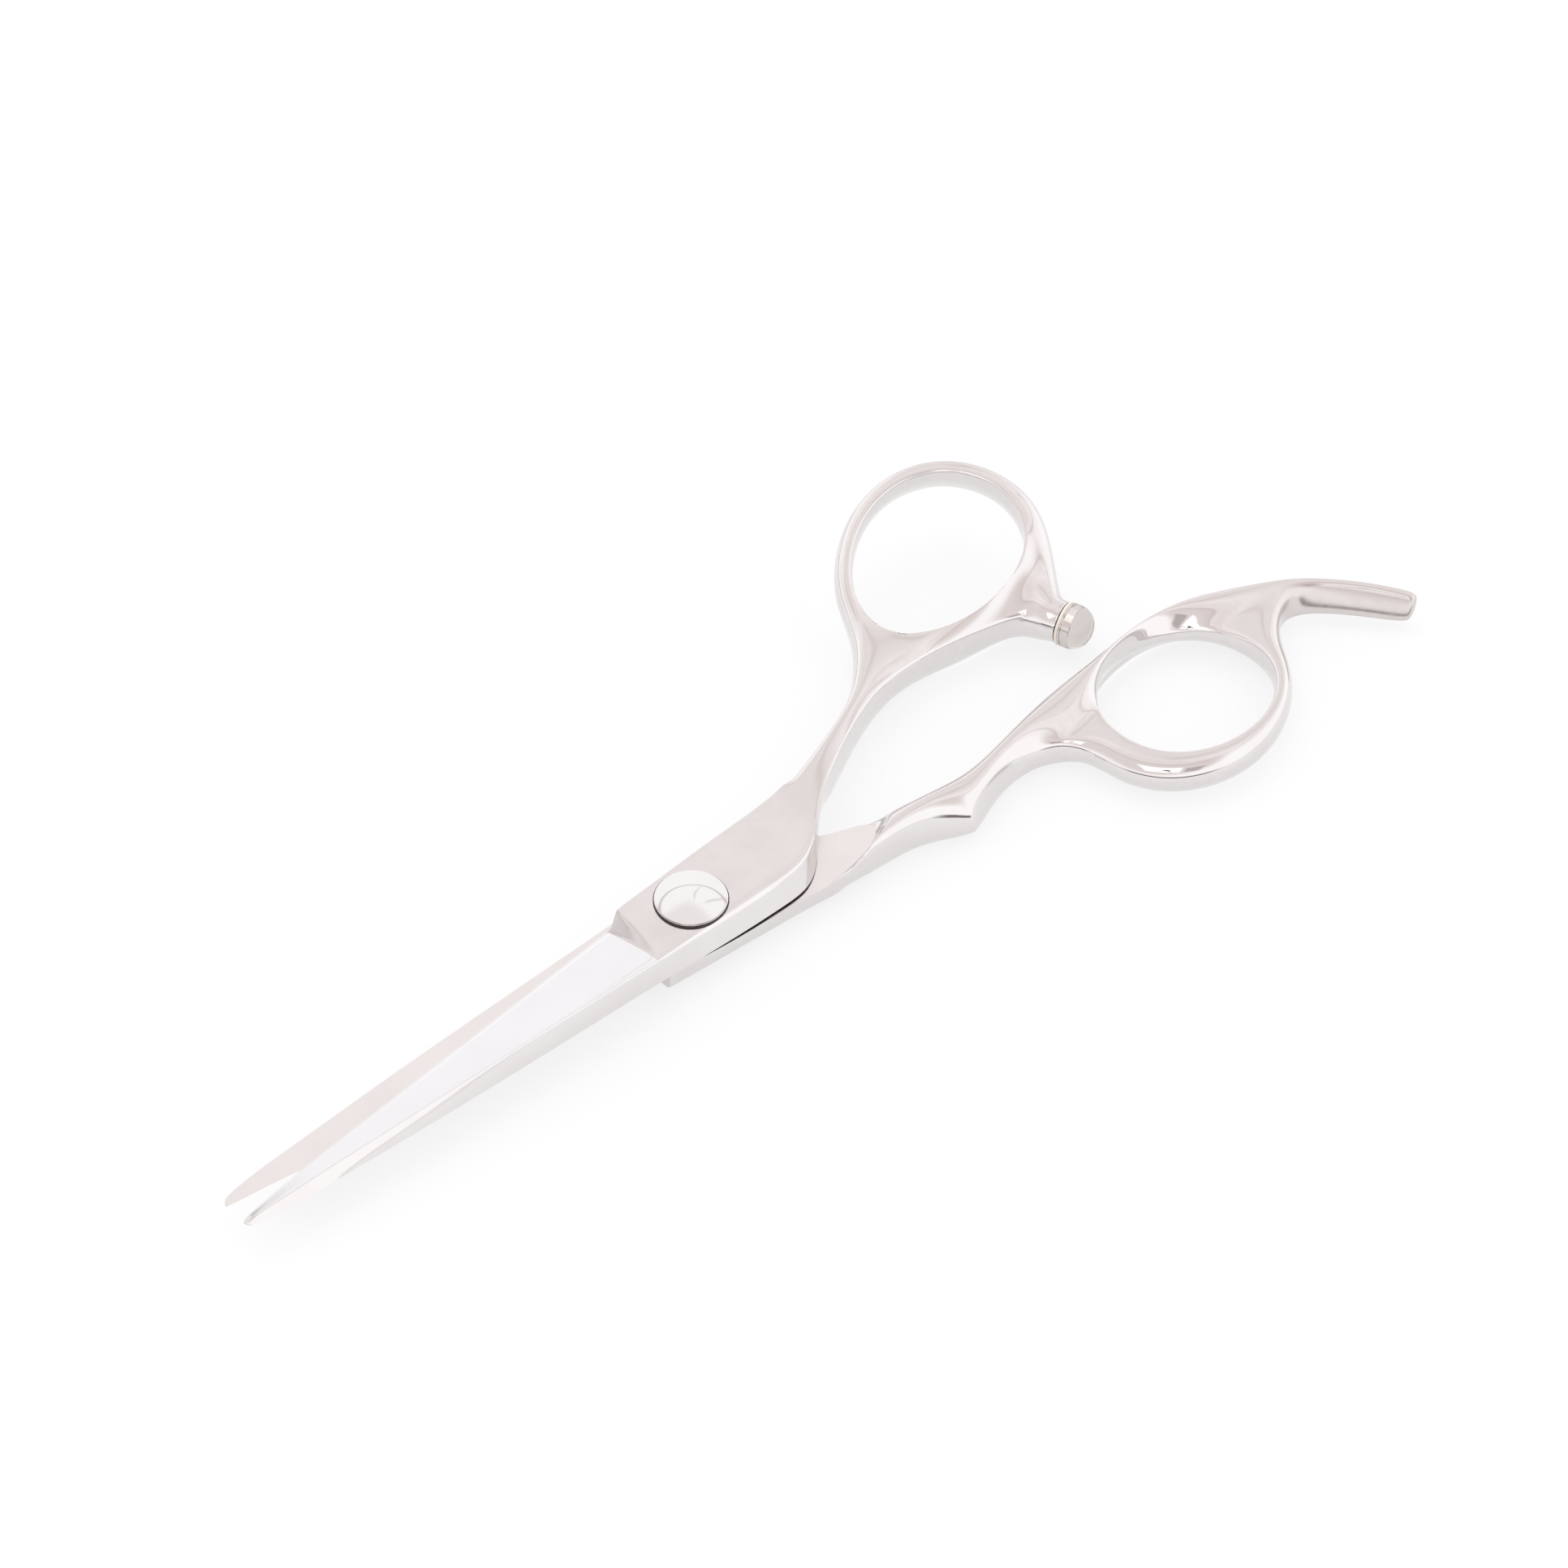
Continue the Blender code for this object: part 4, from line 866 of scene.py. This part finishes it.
def build_bumper():
    """The pad with its stud and seat. Profiles are in the bumper's frame, heights from the boss."""
    turn = bumper_turn()
    r = BUMPER_RADIUS
    seat_profile = [(0.9, 0.5), (r - 0.05, 0.5), (r, 0.45), (r, 0.21), (r - 0.06, 0.15),
                    (1.9, 0.15), (1.9, 0.02), (0.9, 0.02)]
    seat = turned_piece("bumper_seat_fine", seat_profile, turn, CREAM, "bumper_seat", "thumb_body")
    # painted shade: the seat's faces down in the narrow groove between the seat and the boss take the black
    # polymer, for the shade in the groove
    seat.data.materials.append(BLACK_AND_GROOVE_SHADE)
    back = turn.inverted()
    for face in seat.data.polygons:
        spot = back @ (seat.matrix_world @ face.center / MM)
        if spot.z < 0.16 and spot.xy.length < r - 0.3:
            face.material_index = 1
    stud = [(0, 1.75), (1.9, 1.75), (2.0, 1.65), (2.0, 0.52), (0.8, 0.52), (0.8, -2.6), (0, -2.6)]
    turned_piece("bumper_stud_fine", stud, turn, DOME, "bumper_stud", "thumb_body",
                 closed=False)
    # the clear pad fits closely over the stud's head
    pad = []
    steps = 24
    for i in range(steps + 1):
        a = math.pi / 2 * i / steps
        pad.append((r * math.sin(a) ** 0.9, 1.35 + 2.5 * math.cos(a) ** 0.9))
    pad += [(r, 0.58), (r - 0.06, 0.52), (1.96, 0.54), (1.96, 1.66), (1.88, 1.72), (0.0, 1.72)]
    turned_piece("bumper_fine", pad, turn, CLEAR, "bumper", "thumb_body", 128, False)


def finish_cad_nodes():
    """Procedural finishes for the CAD nodes that stay."""
    finishes = dict(mirror_steel=MIRROR, satin_steel=SATIN, bearing_steel=SMALL, black_polymer=BLACK_AND_GROOVE_SHADE,
                    brown_polymer=BROWN, cream_polymer=CREAM, clear_polymer=CLEAR)
    slots = {s["node"]: s["material_slot"] for s in frame["record"]["subparts"]}
    for node, obj in frame["nodes"].items():
        for slot in obj.material_slots:
            slot.material = finishes[slots[node]]


# ---------------------------------------------------------------------------------------------
# Stage: floor, light and camera

CAMERA_HEADING = math.radians(41.22)
CAMERA_DIP = math.radians(47.0)
CAMERA_SPOT = (-0.18772, -0.22987, 0.343955)
CAMERA_SENSOR = 36.0
CAMERA_LENS = 93.17

FLOOR_SIZE = 3.0
FLOOR_TINTS = (0.225, 0.225, 0.225, 1.0), (0.23, 0.23, 0.23, 1.0)
FLOOR_GLOW = 0.745             # stands for the floor's over-exposure
FLOOR_GLOW_TINT = (0.99, 0.99, 1.0, 1.0)
BACKDROP = (0.97, 0.97, 0.98, 1.0)

KEY_SPOT = Vector((-0.25, 0.55, 1.0))
KEY_AIM = Vector((0.02, 0.0, 0.0))
KEY_SIZE = 1.0
KEY_POWER = 2.0
KEY_TINT = (1.0, 0.99, 0.98)

# Colours of the surroundings (linear)
WHITE_WALL = (1.26, 1.25, 1.26)
ROSY = (0.93, 0.86, 0.845)
PANEL = (1.4, 1.4, 1.4)
SHADE = (0.45, 0.42, 0.42)
SEAM = (0.62, 0.52, 0.50)
HORIZON = (0.30, 0.25, 0.24)
ROOM = (0.24, 0.20, 0.19)
CAMERA_BLACK = (0.03, 0.025, 0.025)

FAR = Vector((math.sin(CAMERA_HEADING), math.cos(CAMERA_HEADING), 0))
RIGHT = Vector((math.cos(CAMERA_HEADING), -math.sin(CAMERA_HEADING), 0))
UP = Vector((0, 0, 1))


def build_stage():
    floor_mesh = bpy.data.meshes.new("floor")
    floor_bm = bmesh.new()
    bmesh.ops.create_grid(floor_bm, x_segments=1, y_segments=1, size=FLOOR_SIZE)
    floor_bm.to_mesh(floor_mesh)
    floor_bm.free()
    floor = bpy.data.objects.new("floor", floor_mesh)
    bpy.context.scene.collection.objects.link(floor)
    n = Nodes("pale_floor")
    n.set(Base_Color=n.mix(n.noise(n.place, 60.0, 2.0, 0.5), *FLOOR_TINTS), Roughness=0.7,
          Specular_IOR_Level=0.1, Emission_Color=FLOOR_GLOW_TINT, Emission_Strength=FLOOR_GLOW)
    floor_mesh.materials.append(n.material)


def toward(azimuth, elevation):
    """Unit vector: azimuth 0 is away from the camera and 90 to its right; elevation above the floor."""
    a = math.radians(azimuth)
    e = math.radians(elevation)
    return (FAR * math.cos(a) + RIGHT * math.sin(a)) * math.cos(e) + UP * math.sin(e)


def reach(degrees):
    """The dot product of two directions this far apart."""
    return math.cos(math.radians(degrees))


class Sky:
    """Builds the studio's surroundings as a chain of colour mixes over directions."""

    def __init__(self):
        self.world = bpy.data.worlds.new("studio")
        self.world.use_nodes = True
        self.tree = self.world.node_tree
        self.where = self.tree.nodes.new("ShaderNodeTexCoord").outputs["Generated"]
        self.colour = None

    def along(self, axis):
        """How far the direction goes along an axis, from -1 to 1."""
        made = self.tree.nodes.new("ShaderNodeVectorMath")
        made.operation = "DOT_PRODUCT"
        self.tree.links.new(self.where, made.inputs[0])
        made.inputs[1].default_value = axis
        return made.outputs["Value"]

    def ramp(self, value, low, high):
        """0 below low and 1 above high, smooth between them."""
        made = self.tree.nodes.new("ShaderNodeMapRange")
        made.interpolation_type = "SMOOTHSTEP"
        self.tree.links.new(value, made.inputs["Value"])
        made.inputs["From Min"].default_value = low
        made.inputs["From Max"].default_value = high
        return made.outputs["Result"]

    def fade(self, value, low, high):
        """1 below low and 0 above high."""
        return self.less(1.0, self.ramp(value, low, high))

    def band(self, value, rise, fall):
        """1 between two soft limits, each given as (low, high)."""
        return self.times(self.ramp(value, *rise), self.fade(value, *fall))

    def line(self, value, place, core, rim):
        """1 within core of a place, and 0 beyond rim."""
        return self.fade(self.math("ABSOLUTE", self.less(value, place)), core, rim)

    def math(self, operation, a, b=0.0):
        made = self.tree.nodes.new("ShaderNodeMath")
        made.operation = operation
        for socket, value in zip(made.inputs, (a, b)):
            if isinstance(value, bpy.types.NodeSocket):
                self.tree.links.new(value, socket)
            else:
                socket.default_value = value
        return made.outputs[0]

    def less(self, a, b):
        return self.math("SUBTRACT", a, b)

    def times(self, *values):
        total = values[0]
        for value in values[1:]:
            total = self.math("MULTIPLY", total, value)
        return total

    def base(self, colour):
        made = self.tree.nodes.new("ShaderNodeRGB")
        made.outputs[0].default_value = (*colour, 1.0)
        self.colour = made.outputs[0]

    def lay(self, mask, colour):
        """Put a colour over what is there, where the mask is 1."""
        made = self.tree.nodes.new("ShaderNodeMix")
        made.data_type = "RGBA"
        self.tree.links.new(mask, made.inputs[0])
        self.tree.links.new(self.colour, made.inputs[6])
        made.inputs[7].default_value = (*colour, 1.0)
        self.colour = made.outputs[2]

    def finish(self):
        """Light and reflect with the colours, and show the camera a plain backdrop."""
        link = self.tree.links.new
        lit = self.tree.nodes["Background"]
        link(self.colour, lit.inputs["Color"])
        plain = self.tree.nodes.new("ShaderNodeBackground")
        plain.inputs["Color"].default_value = BACKDROP
        pick = self.tree.nodes.new("ShaderNodeMixShader")
        link(self.tree.nodes.new("ShaderNodeLightPath").outputs["Is Camera Ray"], pick.inputs[0])
        link(lit.outputs[0], pick.inputs[1])
        link(plain.outputs[0], pick.inputs[2])
        link(pick.outputs[0], self.tree.nodes["World Output"].inputs["Surface"])
        bpy.context.scene.world = self.world


def lay_room(sky, height, far, right):
    """White walls, a rosy ceiling with seams, and a dark line where the walls meet the table."""
    sky.base(WHITE_WALL)
    # the ceiling is rosy overhead and towards the camera, and a little on the far left
    overhead = sky.along(toward(200, 66))
    sky.lay(sky.ramp(overhead, reach(48), reach(34)), ROSY)
    left = sky.less(sky.times(right, -1.0), sky.times(far, 0.5))
    sky.lay(sky.times(sky.ramp(left, 0.2, 0.9), sky.ramp(height, 0.1, 0.5), 0.7), ROSY)
    # the line at the table is fainter on the right, and has a gap on the far left
    away = sky.less(0.8, sky.times(sky.ramp(right, 0.45, 0.7), 0.55))
    gap = sky.times(sky.ramp(far, 0.5, 0.7), sky.band(right, (-0.60, -0.52), (-0.28, -0.20)))
    away = sky.times(away, sky.less(1.0, sky.times(gap, 0.9)))
    sky.lay(sky.times(sky.line(height, 0.03, 0.02, 0.05), away), HORIZON)
    # the far ceiling inside its seam is a little brighter
    ring = sky.along(toward(0, 61))
    sky.lay(sky.times(sky.ramp(ring, reach(33), reach(31)), 0.55), WHITE_WALL)
    sky.lay(sky.times(sky.line(ring, reach(32), 0.004, 0.012), 0.6), SEAM)
    # two soft streaks across the far ceiling
    for azimuth, width in ((12, 0.05), (38, 0.035)):
        streak = sky.line(sky.along(toward(azimuth + 90, 0)), 0.0, 0.0, width)
        sky.lay(sky.times(streak, sky.ramp(far, 0.3, 0.5), sky.ramp(height, 0.45, 0.75), 0.4), SEAM)


def build_world():
    """Soft white studio: the room, a white panel round the camera with a grey one beside it, a dim
    strip of room low behind the camera, and the camera on its stand."""
    sky = Sky()
    height = sky.along(UP)
    far = sky.along(FAR)
    right = sky.along(RIGHT)
    lay_room(sky, height, far, right)
    # what is round the camera: u and v go across and down from the lens
    lens = toward(182, 55)
    u = right
    v = sky.along(RIGHT.cross(lens))
    front = sky.ramp(sky.along(lens), 0.1, 0.2)
    panel = sky.times(front, sky.band(u, (-0.36, -0.33), (0.17, 0.19)),
                      sky.band(v, (-0.30, -0.24), (0.22, 0.27)))
    sky.lay(panel, PANEL)
    shade = sky.times(front, sky.band(u, (0.22, 0.24), (0.40, 0.46)),
                      sky.band(v, (-0.20, -0.17), (0.17, 0.22)))
    sky.lay(sky.times(shade, 0.7), SHADE)
    near = sky.ramp(sky.times(far, -1.0), 0.60, 0.85)
    sky.lay(sky.times(near, sky.band(height, (-0.01, 0.02), (0.10, 0.17))), ROOM)
    spot = sky.math("SQRT", sky.math("ADD", sky.times(u, u), sky.times(v, v)))
    sky.lay(sky.times(front, sky.fade(spot, 0.045, 0.06)), CAMERA_BLACK)
    for slant in (-1.1, 0.25, 1.6):
        leg = sky.line(u, sky.times(v, slant), 0.005, 0.014)
        below = sky.times(front, sky.ramp(v, 0.0, 0.02), sky.fade(spot, 0.22, 0.26))
        sky.lay(sky.times(leg, below, 0.8), CAMERA_BLACK)
    sky.finish()


def build_key_light():
    data = bpy.data.lights.new("key_light", "AREA")
    data.shape = "SQUARE"
    data.size = KEY_SIZE
    data.energy = KEY_POWER
    data.color = KEY_TINT
    lamp = bpy.data.objects.new("key_light", data)
    bpy.context.scene.collection.objects.link(lamp)
    lamp.location = KEY_SPOT
    lamp.rotation_euler = (KEY_AIM - KEY_SPOT).to_track_quat("-Z", "Y").to_euler()
    lamp.visible_glossy = False


def build_camera():
    data = bpy.data.cameras.new("camera")
    data.sensor_width = CAMERA_SENSOR
    data.lens = CAMERA_LENS
    data.clip_end = 20.0
    camera = bpy.data.objects.new("camera", data)
    bpy.context.scene.collection.objects.link(camera)
    camera.location = CAMERA_SPOT
    camera.rotation_euler = (math.pi / 2 - CAMERA_DIP, 0, -CAMERA_HEADING)
    bpy.context.scene.camera = camera


build_halves()
build_pivot()
build_bumper()
finish_cad_nodes()
build_stage()
build_world()
build_key_light()
build_camera()
bpy.context.scene.view_settings.view_transform = "Standard"
